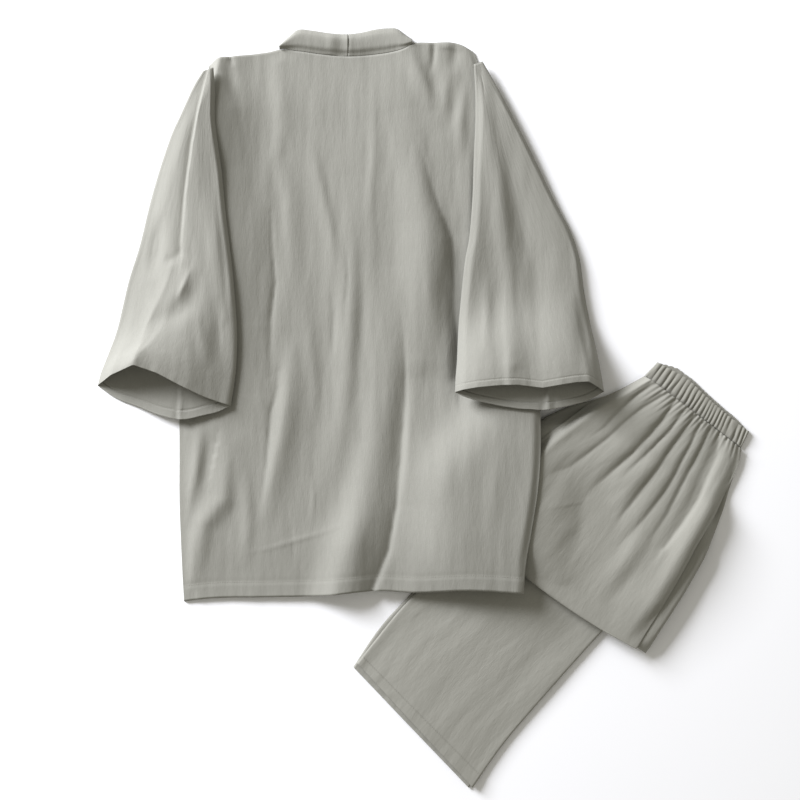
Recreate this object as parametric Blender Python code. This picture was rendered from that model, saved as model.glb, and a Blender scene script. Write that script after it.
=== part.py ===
"""A kimono pyjama set laid flat, as closed cloth solids in metres, with +Z up and the floor at zero.

The jacket lies face down, so its back is up. Its sleeves are pulled down and lie partly on the back, and their
cuffs stand open. The trousers are folded in half lengthwise and in a Z crosswise, and lie partly under the jacket.
Each piece is laid on the ones before it, from the floor up. The tables are in millimetres, with x to the right
of the garment as it lies, and y up towards the collar.
"""

from collections import namedtuple

import bpy
import numpy as np

MM = 0.001

# The cloth and how closely it lies.
WALL = 1.4  # two layers of gauze woven as one
LEG_WALL = 1.1
BAND_WALL = 1.9  # the waist casing with its elastic
COLLAR_WALL = 3.0  # the neckband, folded double and faced
SEAM_GAP = 0.3
LAY_GAP = 0.5  # between pieces that lie on each other
SLIT = 0.8  # least clear height inside a flattened tube

# The net on which the height of the pieces laid so far is kept.
NET_X = 452.0
NET_Y = 524.0
NET_STEP = 4.0

# The jacket's back panel.
BACK_COLUMNS = 44
BACK_ROWS = 31
BACK_PUFF = 4.5  # how far the back stands off the fronts away from its edges
BACK_SOFT = 34.0  # over how long a way from the edge it rises
BACK_END = 1 / 9  # share of its length over which it lies lower at the hem and at the top
BACK_END_PUFF = 0.35  # share of the puff that is left there
BACK_REACH = 17.0
SOFT_CELLS = 3  # cells of the net over which the body's panels are eased

Side = namedtuple("Side", "up left right")
BODY_SIDES = (
    Side(0.00, -321, 133),
    Side(0.05, -323, 135),
    Side(0.11, -325, 142),
    Side(0.19, -327, 151),
    Side(0.27, -327, 155),
    Side(0.33, -327, 155),
    Side(0.50, -324, 149),
    Side(0.70, -316, 129),
    Side(0.85, -306, 102),
    Side(0.93, -298, 86),
    Side(1.00, -287, 67),
)

Edge = namedtuple("Edge", "across y")
BODY_HEM = (
    Edge(0.00, -259),
    Edge(0.05, -256),
    Edge(0.26, -253),
    Edge(0.40, -251),
    Edge(0.48, -247),
    Edge(0.58, -244),
    Edge(0.67, -246),
    Edge(0.85, -242),
    Edge(1.00, -246),
)
NECK_LEFT = 0.266
NECK_BACK = 0.525
NECK_RIGHT = 0.768
BODY_TOP = (
    Edge(0.000, 459),
    Edge(0.028, 466),
    Edge(0.090, 470),
    Edge(0.180, 474),
    Edge(0.232, 477),
    Edge(NECK_LEFT, 480),
    Edge(0.331, 478),
    Edge(0.441, 473),
    Edge(NECK_BACK, 471),
    Edge(0.613, 473),
    Edge(0.681, 476),
    Edge(0.743, 482),
    Edge(NECK_RIGHT, 487),
    Edge(0.842, 489),
    Edge(0.955, 486),
    Edge(1.000, 477),
)

# Folds: the crest's rise where it starts, halfway and where it ends, how wide it falls to each side, its path.
Fold = namedtuple("Fold", "start middle end left right path")
BACK_FOLDS = (
    Fold(0, 6, 13, 20, 17, ((-62, 144), (-59, 44), (-64, -21), (-72, -88), (-87, -137), (-101, -188), (-122, -275))),
    Fold(0, 8, 0, 26, 15, ((-26, 411), (-15, 336), (-3, 293), (7, 252), (10, 211), (6, 157), (1, 85))),
    Fold(5, 4, 0, 12, 22, ((2, 480), (12, 437), (30, 395))),
    Fold(0, 5, 0, 18, 14, ((-98, 300), (-98, 237), (-97, 181), (-97, 111), (-98, 44), (-107, -21), (-130, -110))),
    Fold(2, 6, 0, 13, 20, ((-205, 474), (-206, 377), (-205, 336), (-190, 280), (-183, 211), (-181, 139), (-184, 28))),
    Fold(0, 5, 0, 13, 20, ((-184, 28), (-193, -39), (-205, -96), (-219, -165))),
    Fold(0, 4, 0, 12, 14, ((-150, 350), (-140, 280), (-127, 210))),
    Fold(0, 5, 3, 14, 16, ((-258, -40), (-272, -121), (-298, -155), (-318, -225))),
    Fold(0, 4, 0, 10, 12, ((-302, -32), (-314, -115))),
    Fold(0, 4, 0, 16, 16, ((26, -70), (14, -137), (8, -190))),
    Fold(0, 5, 0, 16, 14, ((-28, 110), (-24, 20), (-30, -60), (-42, -150))),
    Fold(0, -4, 0, 14, 14, ((-235, 440), (-222, 336), (-206, 250), (-199, 150))),
)

# The wrap fronts under the back, and the stretch of the neckband along each.
FRONT_COLUMNS = 9
FRONT_ROWS = 18
FRONT_REACH = 30.0
FRONT_WALL = 1.2
FRONT_BAND_WIDTH = 30.0
FRONT_BAND_COLUMNS = 3
FrontEdge = namedtuple("FrontEdge", "up left_front right_front")
FRONT_EDGES = (
    FrontEdge(0.00, 0.62, 0.40),
    FrontEdge(0.20, 0.61, 0.41),
    FrontEdge(0.45, 0.58, 0.44),
    FrontEdge(0.70, 0.44, 0.57),
    FrontEdge(0.90, 0.31, 0.70),
    FrontEdge(1.00, 0.23, 0.80),
)

# The top edge of the neckband, which lies flat above the neck seam.
COLLAR_ROWS = 3
COLLAR_PUFF = 2.0
COLLAR_LEAST = 2.0  # the band's height where it runs out at its ends
NECK_MATCH = 0.012  # how near a share of the back's top edge has to be to count as the neck's corner
Top = namedtuple("Top", "x y")
COLLAR_TOP = (
    Top(-195, 484),
    Top(-181, 497),
    Top(-170, 506),
    Top(-151, 506),
    Top(-131, 503),
    Top(-103, 501),
    Top(-84, 503),
    Top(-66, 507),
    Top(-48, 509),
    Top(-35, 508),
    Top(-24, 500),
    Top(-12, 492),
)

# The sleeves: where each section's outer and inner folded edges lie, from the shoulder to the cuff.
SLEEVE_ACROSS = 14
SLEEVE_REACH = 15.0
SLEEVE_PUFF = 5.0
SLEEVE_START = 1 / 6  # share of the sleeve's length over which it rises from the shoulder
SLEEVE_ROUND = 0.7  # how blunt its section is: nearer nought is flatter on top
SLEEVE_EDGE = 0.03  # share across at which the row beside each folded edge stands
MOUTH_FROM = 0.50  # share of the sleeve's length from which its cuff opens
Section = namedtuple("Section", "outer_x outer_y inner_x inner_y")
LEFT_SLEEVE = (
    Section(-293, 447, -279, 452),
    Section(-305, 427, -277, 422),
    Section(-322, 391, -277, 386),
    Section(-335, 364, -274, 357),
    Section(-352, 318, -269, 313),
    Section(-366, 272, -265, 261),
    Section(-380, 217, -257, 211),
    Section(-395, 170, -252, 164),
    Section(-410, 107, -248, 104),
    Section(-423, 71, -249, 61),
    Section(-432, 48, -252, 33),
    Section(-437, 30, -257, 3),
)
RIGHT_SLEEVE = (
    Section(79, 463, 67, 459),
    Section(101, 424, 69, 419),
    Section(122, 385, 69, 381),
    Section(144, 342, 67, 333),
    Section(175, 278, 65, 279),
    Section(197, 236, 61, 229),
    Section(209, 200, 55, 195),
    Section(215, 157, 50, 149),
    Section(223, 114, 46, 104),
    Section(231, 75, 44, 63),
    Section(236, 44, 42, 40),
    Section(239, 22, 41, 21),
)

# The open cuffs, across from the outer edge: how far the upper hem is drawn back, how far the lower hem comes
# forward, and how high the upper wall stands.
Mouth = namedtuple("Mouth", "across back forward rise")
LEFT_MOUTH = (
    Mouth(0.00, 0, 0, 0),
    Mouth(0.12, 17, 12, 17),
    Mouth(0.30, 35, 20, 38),
    Mouth(0.47, 29, 27, 29),
    Mouth(0.64, 17, 28, 18),
    Mouth(0.80, 7, 18, 9),
    Mouth(0.90, 3, 11, 4),
    Mouth(1.00, 0, 0, 0),
)
RIGHT_MOUTH = (
    Mouth(0.00, 0, 0, 0),
    Mouth(0.11, 13, 12, 11),
    Mouth(0.26, 11, 20, 16),
    Mouth(0.42, 5, 24, 15),
    Mouth(0.58, 9, 22, 19),
    Mouth(0.75, 8, 16, 15),
    Mouth(0.92, 4, 9, 6),
    Mouth(1.00, 0, 0, 0),
)
LEFT_SLEEVE_FOLDS = (
    Fold(-1, -3, 0, 10, 10, ((-287, 454), (-300, 397), (-309, 348), (-319, 284), (-324, 200))),
    Fold(0, 4, 0, 14, 14, ((-313, 177), (-320, 150), (-330, 125))),
)
RIGHT_SLEEVE_FOLDS = (
    Fold(0, 4, 2, 13, 10, ((70, 466), (77, 411), (86, 377), (99, 313), (108, 232), (115, 168), (118, 60))),
    Fold(0, -4, 0, 11, 11, ((99, 393), (115, 329), (125, 248), (132, 200), (138, 103), (148, 40))),
)

# The trousers' four stretches and the hidden fold between them.
Leg = namedtuple("Leg", "left_x left_y right_x right_y bow")
HEM_FAR = (
    Leg(-94, -347, 61, -509, 0),
    Leg(-69, -309, 98, -453, 0),
    Leg(-47, -281, 133, -412, 0),
    Leg(-16, -248, 170, -371, 0),
    Leg(17, -211, 202, -336, 0),
    Leg(49, -176, 235, -300, 0),
    Leg(99, -129, 286, -251, 0),
    Leg(169, -64, 350, -183, 0),
)
HEM_NEAR = (
    Leg(-89, -341, 66, -508, 0),
    Leg(-64, -310, 103, -455, 0),
    Leg(-35, -274, 138, -413, 0),
    Leg(-11, -248, 174, -372, 0),
    Leg(22, -211, 206, -336, 0),
    Leg(54, -176, 239, -300, 0),
    Leg(102, -129, 289, -251, 0),
    Leg(171, -64, 353, -183, 0),
)
HEM_ACROSS = 9
HEM_EDGE = 0.02
HEM_PUFF = 1.2
FOLDED_CORE = (
    Leg(177, -45, 358, -171, 0),
    Leg(162, -63, 347, -189, 0),
    Leg(135, -96, 326, -227, 2),
    Leg(102, -133, 302, -264, 5),
    Leg(75, -155, 273, -299, 8),
)
Stack = namedtuple("Stack", "name table columns rows thick layers")
CORE_STACK = Stack("trouser_folded_core", FOLDED_CORE, 11, 9, 6.0, 2)
LEG_FAR = (
    Leg(298, 38, 426, -56, 0),
    Leg(265, 23, 418, -83, 0),
    Leg(227, 11, 410, -107, 0),
    Leg(190, 0, 399, -143, 0),
    Leg(153, -20, 378, -193, 0),
    Leg(129, -59, 355, -235, 0),
    Leg(107, -97, 334, -269, 2),
    Leg(83, -127, 314, -300, 4),
    Leg(67, -148, 297, -328, 4),
)
FAR_STACK = Stack("trouser_leg_far", LEG_FAR, 12, 16, 4.2, 2)
STACK_REACH = 20.0
STACK_TUCK = 0.009  # how far the grooves between the layers run in, as a share of the width
LEG_NEAR = (
    Leg(296, 43, 425, -54, 0),
    Leg(261, 24, 422, -73, 0),
    Leg(224, 7, 409, -103, 0),
    Leg(190, -17, 390, -140, 0),
    Leg(157, -42, 366, -180, 0),
    Leg(129, -73, 345, -219, 0),
    Leg(102, -103, 321, -260, 3),
    Leg(75, -132, 298, -296, 8),
    Leg(57, -155, 283, -321, 11),
)
NEAR_WIDTH = 230.0
NEAR_LENGTH = 300.0
NEAR_ROWS = 18
NEAR_PUFF = 2.5
NEAR_SIDE = 1 / 6  # share of the width over which it rises from each side
NEAR_REACH = 12.0
GATHERS = 26
GATHER_RISE = 1.5
GATHER_FADE = 0.13  # share of the leg over which the small gathers run out
GATHER_FOLDS = (
    Fold(-2, -3, 0, 6, 6, ((291, 39), (265, 8), (241, -12))),
    Fold(-2, -4, 0, 7, 7, ((307, 33), (281, 8), (250, -17), (215, -44), (162, -87))),
    Fold(-2, -4, 0, 7, 7, ((322, 17), (299, -4), (271, -29), (238, -56), (201, -83))),
    Fold(-2, -2, 0, 5, 5, ((338, 8), (315, -21))),
    Fold(-3, -5, 0, 7, 7, ((351, -4), (341, -20), (313, -43), (283, -68), (235, -113), (211, -141))),
    Fold(-3, -4, 0, 6, 6, ((358, -11), (350, -51), (327, -87), (265, -149))),
    Fold(-2, -4, 0, 7, 7, ((378, -27), (363, -60), (341, -108), (315, -149))),
    Fold(-4, -5, 0, 9, 9, ((394, -35), (383, -68), (367, -101), (327, -172))),
    Fold(0, 3, 0, 10, 10, ((384, -140), (346, -205), (310, -275))),
)

# The waistband, folded in half: its seam and its top edge, and how far the top edge bulges out.
WAISTBAND = (
    Section(296.4, 43.6, 425.4, -53.4),
    Section(306, 54, 432, -41),
    Section(315, 63, 437, -31),
)
BAND_CLEAR = 2.2
BAND_END_CLEAR = 0.4  # share of the clear height that is left at the band's two ends
BAND_EDGE = 0.012
BAND_STATIONS = (0.0, 0.5, 1.0)
Bulge = namedtuple("Bulge", "across out")
BAND_BULGE = (
    Bulge(0.00, -2),
    Bulge(0.12, 1),
    Bulge(0.30, 5),
    Bulge(0.50, 2),
    Bulge(0.70, 0),
    Bulge(1.00, -1),
)

# How a folded edge rolls down: the way in from the edge, and the share of the drop reached there.
Roll = namedtuple("Roll", "inset drop")
EDGE_ROLL = (Roll(0.0, 1.0), Roll(0.6, 0.45), Roll(3.0, 0.1), Roll(9.0, 0.0))

Finish = namedtuple("Finish", "name red green blue roughness")
JACKET_CLOTH = Finish("jacket_cloth", 0.330, 0.325, 0.285, 0.95)
TROUSER_CLOTH = Finish("trouser_cloth", 0.318, 0.310, 0.275, 0.95)
BAND_CLOTH = Finish("band_cloth", 0.270, 0.262, 0.230, 0.95)
COLLAR_CLOTH = Finish("collar_cloth", 0.340, 0.336, 0.298, 0.95)


def clear_scene():
    """Remove every object that the scene starts with."""
    for item in list(bpy.data.objects):
        bpy.data.objects.remove(item, do_unlink=True)


def curve(knots, values, at):
    """Return the smooth curve through the values at their knots."""
    knots = np.asarray(knots, float)
    values = np.asarray(values, float)
    slopes = np.gradient(values, knots)
    at = np.clip(at, knots[0], knots[-1])
    row = np.clip(np.searchsorted(knots, at, side="right") - 1, 0, len(knots) - 2)
    step = knots[row + 1] - knots[row]
    part = (at - knots[row]) / step
    return (
        (1 + 2 * part) * (1 - part) ** 2 * values[row]
        + part * (1 - part) ** 2 * step * slopes[row]
        + part**2 * (3 - 2 * part) * values[row + 1]
        + part**2 * (part - 1) * step * slopes[row + 1]
    )


def column(table, name):
    """Return one named column of a table."""
    return np.array([getattr(row, name) for row in table], float)


def ease(share):
    """Return a soft step from nought to one."""
    share = np.clip(share, 0.0, 1.0)
    return share * share * (3 - 2 * share)


def relief(x, y, folds):
    """Return the height that the folds add at each point."""
    total = np.zeros(np.shape(x))
    for fold in folds:
        path = np.array(fold.path, float)
        steps = np.diff(path, axis=0)
        lengths = np.hypot(steps[:, 0], steps[:, 1])
        run = np.concatenate([[0.0], np.cumsum(lengths)])
        best = np.full(total.shape, np.inf)
        side = np.zeros(total.shape)
        share = np.zeros(total.shape)
        for (ax, ay), (dx, dy), length, start in zip(path, steps, lengths, run):
            along = np.clip(((x - ax) * dx + (y - ay) * dy) / length**2, 0.0, 1.0)
            distance = np.hypot(x - ax - along * dx, y - ay - along * dy)
            nearer = distance < best
            best = np.where(nearer, distance, best)
            side = np.where(nearer, (y - ay) * dx - (x - ax) * dy, side)
            share = np.where(nearer, (start + along * length) / run[-1], share)
        width = np.where(side > 0, fold.right, fold.left)
        rise = curve((0.0, 0.5, 1.0), (fold.start, fold.middle, fold.end), share)
        total += rise * np.exp(-((best / width) ** 2))
    return total


class Ground:
    """The height of all that has been laid so far, on a square net over the floor."""

    def __init__(self):
        """Start with the bare floor."""
        self.columns = int(2 * NET_X / NET_STEP) + 1
        self.rows = int(2 * NET_Y / NET_STEP) + 1
        self.heights = np.zeros((self.rows, self.columns))

    def add(self, points, triangles):
        """Raise the net to the triangles of a piece."""
        net = (points[:, :2] + (NET_X, NET_Y)) / NET_STEP
        for first, second, third in triangles:
            corners = net[[first, second, third]]
            low = np.maximum(np.ceil(corners.min(axis=0)).astype(int), 0)
            high = np.floor(corners.max(axis=0)).astype(int)
            if np.any(high < low):
                continue
            gx, gy = np.meshgrid(np.arange(low[0], high[0] + 1), np.arange(low[1], high[1] + 1))
            (ax, ay), (bx, by), (cx, cy) = corners
            area = (bx - ax) * (cy - ay) - (cx - ax) * (by - ay)
            if abs(area) < 1e-9:
                continue
            b = ((gx - ax) * (cy - ay) - (cx - ax) * (gy - ay)) / area
            c = ((bx - ax) * (gy - ay) - (gx - ax) * (by - ay)) / area
            inside = (b >= -1e-6) & (c >= -1e-6) & (b + c <= 1 + 1e-6)
            z = (1 - b - c) * points[first, 2] + b * points[second, 2] + c * points[third, 2]
            patch = self.heights[low[1] : high[1] + 1, low[0] : high[0] + 1]
            patch[inside] = np.maximum(patch[inside], z[inside])

    def under(self, x, y, reach, soft=0):
        """Return the height to clear at each point: the highest within reach, eased over some more cells."""
        cells = int(np.ceil(reach / NET_STEP))
        top = widest(self.heights, cells)
        if soft:
            top = np.maximum(top, spread(widest(top, 1), soft))
        across = np.clip((x + NET_X) / NET_STEP, 0, self.columns - 1.001)
        up = np.clip((y + NET_Y) / NET_STEP, 0, self.rows - 1.001)
        i = across.astype(int)
        j = up.astype(int)
        corners = (top[j, i], top[j, i + 1], top[j + 1, i], top[j + 1, i + 1])
        if not soft:
            return np.maximum.reduce(corners)
        low = corners[0] * (1 - across + i) + corners[1] * (across - i)
        high = corners[2] * (1 - across + i) + corners[3] * (across - i)
        return low * (1 - up + j) + high * (up - j)


def widest(heights, cells):
    """Return the highest value within some cells of each."""
    for axis in (0, 1):
        padded = np.pad(heights, [(cells, cells) if a == axis else (0, 0) for a in (0, 1)], mode="edge")
        size = heights.shape[axis]
        stack = [np.take(padded, range(k, k + size), axis=axis) for k in range(2 * cells + 1)]
        heights = np.maximum.reduce(stack)
    return heights


def spread(heights, cells):
    """Return the heights averaged twice over some cells each way."""
    for axis in (0, 1, 0, 1):
        padded = np.pad(heights, [(cells, cells) if a == axis else (0, 0) for a in (0, 1)], mode="edge")
        size = heights.shape[axis]
        stack = [np.take(padded, range(k, k + size), axis=axis) for k in range(2 * cells + 1)]
        heights = np.mean(stack, axis=0)
    return heights


def over(height, gap):
    """Return the height at which a piece lies: on the bare floor, or a gap above what it lies on."""
    return np.where(height > gap / 10, height + gap, 0.0)


def material(finish):
    """Return the material of a finish, made once."""
    found = bpy.data.materials.get(finish.name)
    if found:
        return found
    made = bpy.data.materials.new(finish.name)
    made.use_nodes = True
    shader = made.node_tree.nodes["Principled BSDF"]
    shader.inputs["Base Color"].default_value = (finish.red, finish.green, finish.blue, 1.0)
    shader.inputs["Roughness"].default_value = finish.roughness
    shader.inputs["Metallic"].default_value = 0.0
    return made


def make(name, points, faces, finish, root):
    """Make one closed body from points in millimetres, and return its points and triangles."""
    points = np.asarray(points, float)
    triangles = []
    for face in faces:
        for k in range(1, len(face) - 1):
            triangles.append((face[0], face[k], face[k + 1]))
    triangles = np.array(triangles)
    a, b, c = (points[triangles[:, k]] for k in range(3))
    if np.einsum("ij,ij->i", a, np.cross(b, c)).sum() < 0:
        triangles = triangles[:, ::-1]
    mesh = bpy.data.meshes.new(name)
    mesh.from_pydata((points * MM).tolist(), [], triangles.tolist())
    mesh.validate()
    mesh.materials.append(material(finish))
    body = bpy.data.objects.new(name, mesh)
    bpy.context.scene.collection.objects.link(body)
    body.parent = root
    return points, triangles


def turned_over(faces):
    """Return the faces looking the other way, each still split along the same diagonal."""
    return [(face[0], *face[:0:-1]) for face in faces]


def grid_faces(rows, columns, start):
    """Return the quads of a net of points that starts at an index."""
    faces = []
    for j in range(rows - 1):
        for i in range(columns - 1):
            a = start + j * columns + i
            faces.append((a, a + 1, a + columns + 1, a + columns))
    return faces


def rim_of(rows, columns):
    """Return the indices round a net of points, in order."""
    bottom = list(range(columns))
    right = [j * columns + columns - 1 for j in range(1, rows)]
    top = [(rows - 1) * columns + i for i in range(columns - 2, -1, -1)]
    left = [j * columns for j in range(rows - 2, 0, -1)]
    return bottom + right + top + left


def band_faces(first, second):
    """Return the quads between two closed loops of indices."""
    faces = []
    for k in range(len(first)):
        n = (k + 1) % len(first)
        faces.append((first[k], first[n], second[n], second[k]))
    return faces


def sheet(name, surface, wall, finish, root):
    """Make a cloth sheet: the surface is its upper face, as rows of points, and its wall lies under it."""
    rows, columns = surface.shape[:2]
    along = np.gradient(surface, axis=0)
    across = np.gradient(surface, axis=1)
    normal = np.cross(across, along)
    normal *= np.sign(normal[..., 2:3] + 1e-12)
    normal /= np.linalg.norm(normal, axis=2, keepdims=True)
    under = surface - normal * wall
    points = np.concatenate([surface.reshape(-1, 3), under.reshape(-1, 3)])
    count = rows * columns
    faces = grid_faces(rows, columns, 0) + turned_over(grid_faces(rows, columns, count))
    rim = rim_of(rows, columns)
    faces += band_faces([k + count for k in rim], rim)
    return make(name, points, faces, finish, root)


def layered(stack, place, finish, root):
    """Make a rounded stack of folded layers: place gives x, y and the lowest z at each share across and along."""
    u, t = np.meshgrid(np.linspace(0.0, 1.0, stack.columns), np.linspace(0.0, 1.0, stack.rows))
    rim = rim_of(stack.rows, stack.columns)
    points = []
    levels = np.linspace(0.0, 1.0, 2 * stack.layers + 1)
    for number, level in enumerate(levels):
        tuck = STACK_TUCK if number % 2 == 0 else 0.0
        x, y, z = place(tuck + (1 - 2 * tuck) * u, tuck + (1 - 2 * tuck) * t)
        net = np.stack([x, y, z + level * stack.thick], axis=-1).reshape(-1, 3)
        points.append(net if number in (0, len(levels) - 1) else net[rim])
    starts = np.cumsum([0] + [len(p) for p in points])
    faces = turned_over(grid_faces(stack.rows, stack.columns, 0))
    faces += grid_faces(stack.rows, stack.columns, starts[-2])
    loops = [rim] + [list(range(starts[k], starts[k + 1])) for k in range(1, len(points) - 1)]
    loops.append([starts[-2] + k for k in rim])
    for low, high in zip(loops, loops[1:]):
        faces += band_faces(low, high)
    return make(stack.name, np.concatenate(points), faces, finish, root)


def tube(name, outer, inner, open_start, finish, root):
    """Make a flattened tube from loops of points: each loop runs along the lower wall and back along the upper."""
    stations, count = outer.shape[:2]
    first = 0 if open_start else 1
    points = np.concatenate([outer.reshape(-1, 3), inner[first:].reshape(-1, 3)])
    loops = [list(range(s * count, (s + 1) * count)) for s in range(stations)]
    base = stations * count
    holes = [list(range(base + s * count, base + (s + 1) * count)) for s in range(stations - first)]
    faces = []
    for low, high in zip(loops, loops[1:]):
        faces += band_faces(low, high)
    for low, high in zip(holes, holes[1:]):
        faces += turned_over(band_faces(low, high))
    faces += band_faces(loops[-1], holes[-1])
    if open_start:
        faces += band_faces(holes[0], loops[0])
    else:
        faces += turned_over(ladder(loops[0])) + ladder(holes[0])
    return make(name, points, faces, finish, root)


def ladder(loop):
    """Return the faces that close a flattened loop, from its lower wall to its upper wall."""
    half = len(loop) // 2
    lower = loop[: half + 1]
    upper = [loop[0]] + loop[: half - 1 : -1]
    faces = [(lower[0], lower[1], upper[1])]
    for k in range(1, half - 1):
        faces.append((lower[k], lower[k + 1], upper[k + 1], upper[k]))
    faces.append((lower[half - 1], lower[half], upper[half - 1]))
    return faces


def body_place(u, t):
    """Return the jacket's outline point at a share across and a share up."""
    up = column(BODY_SIDES, "up")
    left = curve(up, column(BODY_SIDES, "left"), t)
    right = curve(up, column(BODY_SIDES, "right"), t)
    hem = curve(column(BODY_HEM, "across"), column(BODY_HEM, "y"), u)
    top = curve(column(BODY_TOP, "across"), column(BODY_TOP, "y"), u)
    return left + (right - left) * u, hem + (top - hem) * t


def leg_place(table, u, t):
    """Return the point of a trouser stretch at a share across and a share along."""
    knots = np.linspace(0.0, 1.0, len(table))
    left_x = curve(knots, column(table, "left_x"), t)
    left_y = curve(knots, column(table, "left_y"), t)
    right_x = curve(knots, column(table, "right_x"), t)
    right_y = curve(knots, column(table, "right_y"), t)
    bow = curve(knots, column(table, "bow"), t) * 4 * u * (1 - u)
    width = np.hypot(right_x - left_x, right_y - left_y)
    x = left_x + (right_x - left_x) * u + bow * (right_y - left_y) / width
    y = left_y + (right_y - left_y) * u - bow * (right_x - left_x) / width
    return x, y


def shares(count, edge):
    """Return shares across a flattened tube, with a row close to each edge."""
    return np.concatenate([[0.0], np.linspace(edge, 1 - edge, count - 1), [1.0]])


def flat_loops(place, walls, u, stations, wall, hollow, base):
    """Return the outer and inner loops of a flattened tube.

    place gives x and y for a wall (lower or upper) at shares across and along, walls names the two, hollow gives
    the clear height inside, and base gives the height to clear.
    """
    outer = []
    inner = []
    for s in stations:
        along = np.full(u.shape, s)
        loop = []
        hole = []
        low_x, low_y = place(walls[0], u, along)
        up_x, up_y = place(walls[1], u, along)
        floor = base(low_x, low_y)
        above = np.maximum(base(up_x, up_y), floor)
        clear = hollow(u, along)
        middle = floor + wall + clear / 2
        low_z = np.where((u == 0) | (u == 1), middle, floor)
        up_z = np.where((u == 0) | (u == 1), middle, above + 2 * wall + clear)
        width = np.hypot(low_x[-1] - low_x[0], low_y[-1] - low_y[0])
        shrunk = wall / width + (1 - 2 * wall / width) * u
        in_low_x, in_low_y = place(walls[0], shrunk, along)
        in_up_x, in_up_y = place(walls[1], shrunk, along)
        edge = (u == 0) | (u == 1)
        in_low_z = np.where(edge, middle, low_z + wall)
        in_up_z = np.where(edge, middle, up_z - wall)
        loop.append(np.stack([low_x, low_y, low_z], axis=-1))
        loop.append(np.stack([up_x, up_y, up_z], axis=-1)[-2:0:-1])
        hole.append(np.stack([in_low_x, in_low_y, in_low_z], axis=-1))
        hole.append(np.stack([in_up_x, in_up_y, in_up_z], axis=-1)[-2:0:-1])
        outer.append(np.concatenate(loop))
        inner.append(np.concatenate(hole))
    return np.array(outer), np.array(inner)


def lay_hem(name, table, ground, root):
    """Lay the stretch of a leg from the fold to the hem: a flattened tube, open at the hem."""
    turned = table[::-1]

    def place(_, u, t):
        return leg_place(turned, u, t)

    def base(x, y):
        return over(ground.under(x, y, NET_STEP), SEAM_GAP)

    def hollow(u, _):
        return SLIT + HEM_PUFF * np.sin(np.pi * u) ** 2

    stations = np.linspace(0.0, 1.0, len(table))
    u = shares(HEM_ACROSS, HEM_EDGE)
    outer, inner = flat_loops(place, ("lower", "upper"), u, stations, LEG_WALL, hollow, base)
    ground.add(*tube(name, outer, inner, False, TROUSER_CLOTH, root))


def lay_stack(stack, ground, root):
    """Lay hidden folded layers as one rounded solid with layered edges."""

    def place(u, t):
        x, y = leg_place(stack.table, u, t)
        return x, y, over(ground.under(x, y, STACK_REACH, 1), SEAM_GAP)

    ground.add(*layered(stack, place, TROUSER_CLOTH, root))


def rolled(count, length, ends):
    """Return shares along a way, with the rows of the rolled edge at the ends that have one, and their drops."""
    insets = column(EDGE_ROLL, "inset") / length
    drops = column(EDGE_ROLL, "drop")
    low = insets if ends[0] else np.zeros(1)
    high = 1 - insets[::-1] if ends[1] else np.ones(1)
    middle = np.linspace(low[-1], high[0], count - len(low) - len(high) + 2)[1:-1]
    share = np.concatenate([low, middle, high])
    drop = np.concatenate(
        [
            drops if ends[0] else np.zeros(1),
            np.zeros(len(middle)),
            drops[::-1] if ends[1] else np.zeros(1),
        ]
    )
    return share, drop


def lay_near_leg(ground, root):
    """Lay the upper wall of the near leg, gathered at the waist and rolled round the stack at its folded edges."""
    across, side_drop = rolled(2 * GATHERS + len(EDGE_ROLL) + 1, NEAR_WIDTH, (True, True))
    along, end_drop = rolled(NEAR_ROWS, NEAR_LENGTH, (False, True))
    u, t = np.meshgrid(across, along)
    x, y = leg_place(LEG_NEAR, u, t)
    drop = 1 - (1 - side_drop[None, :]) * (1 - end_drop[:, None])
    waves = np.where(np.arange(len(across)) % 2 == 0, 0.0, 1.0)[None, :] * (drop < 0.05)
    small = GATHER_RISE * waves * (1 - ease(t / GATHER_FADE))
    puff = NEAR_PUFF * ease(u / NEAR_SIDE) * ease((1 - u) / NEAR_SIDE)
    stand = np.maximum(puff + relief(x, y, GATHER_FOLDS), 0.0) + small
    high = over(ground.under(x, y, NEAR_REACH, 1), LAY_GAP) + stand
    low = np.minimum(over(ground.under(x, y, NET_STEP / 2), LAY_GAP), high)
    z = high - drop * (high - low) + WALL
    surface = np.stack([x, y, z], axis=-1)
    ground.add(*sheet("trouser_leg_near", surface, WALL, TROUSER_CLOTH, root))


def lay_waistband(ground, root):
    """Lay the gathered waistband, folded in half: a flat hoop that is open at its top and at its seam."""
    knots = np.linspace(0.0, 1.0, len(WAISTBAND))

    def place(_, u, s):
        ax = curve(knots, column(WAISTBAND, "outer_x"), s)
        ay = curve(knots, column(WAISTBAND, "outer_y"), s)
        bx = curve(knots, column(WAISTBAND, "inner_x"), s)
        by = curve(knots, column(WAISTBAND, "inner_y"), s)
        out = curve(column(BAND_BULGE, "across"), column(BAND_BULGE, "out"), u) * s
        width = np.hypot(bx - ax, by - ay)
        return ax + (bx - ax) * u - out * (by - ay) / width, ay + (by - ay) * u + out * (bx - ax) / width

    def base(x, _):
        return np.zeros(x.shape)

    u = shares(2 * GATHERS, BAND_EDGE)
    waves = np.where(np.arange(len(u)) % 2 == 0, 0.0, GATHER_RISE)

    def hollow(share, _):
        return BAND_CLEAR * (BAND_END_CLEAR + (1 - BAND_END_CLEAR) * np.sin(np.pi * share)) + waves

    outer, inner = flat_loops(place, ("lower", "upper"), u, BAND_STATIONS, BAND_WALL, hollow, base)
    ground.add(*tube("waistband", outer, inner, True, BAND_CLOTH, root))


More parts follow.
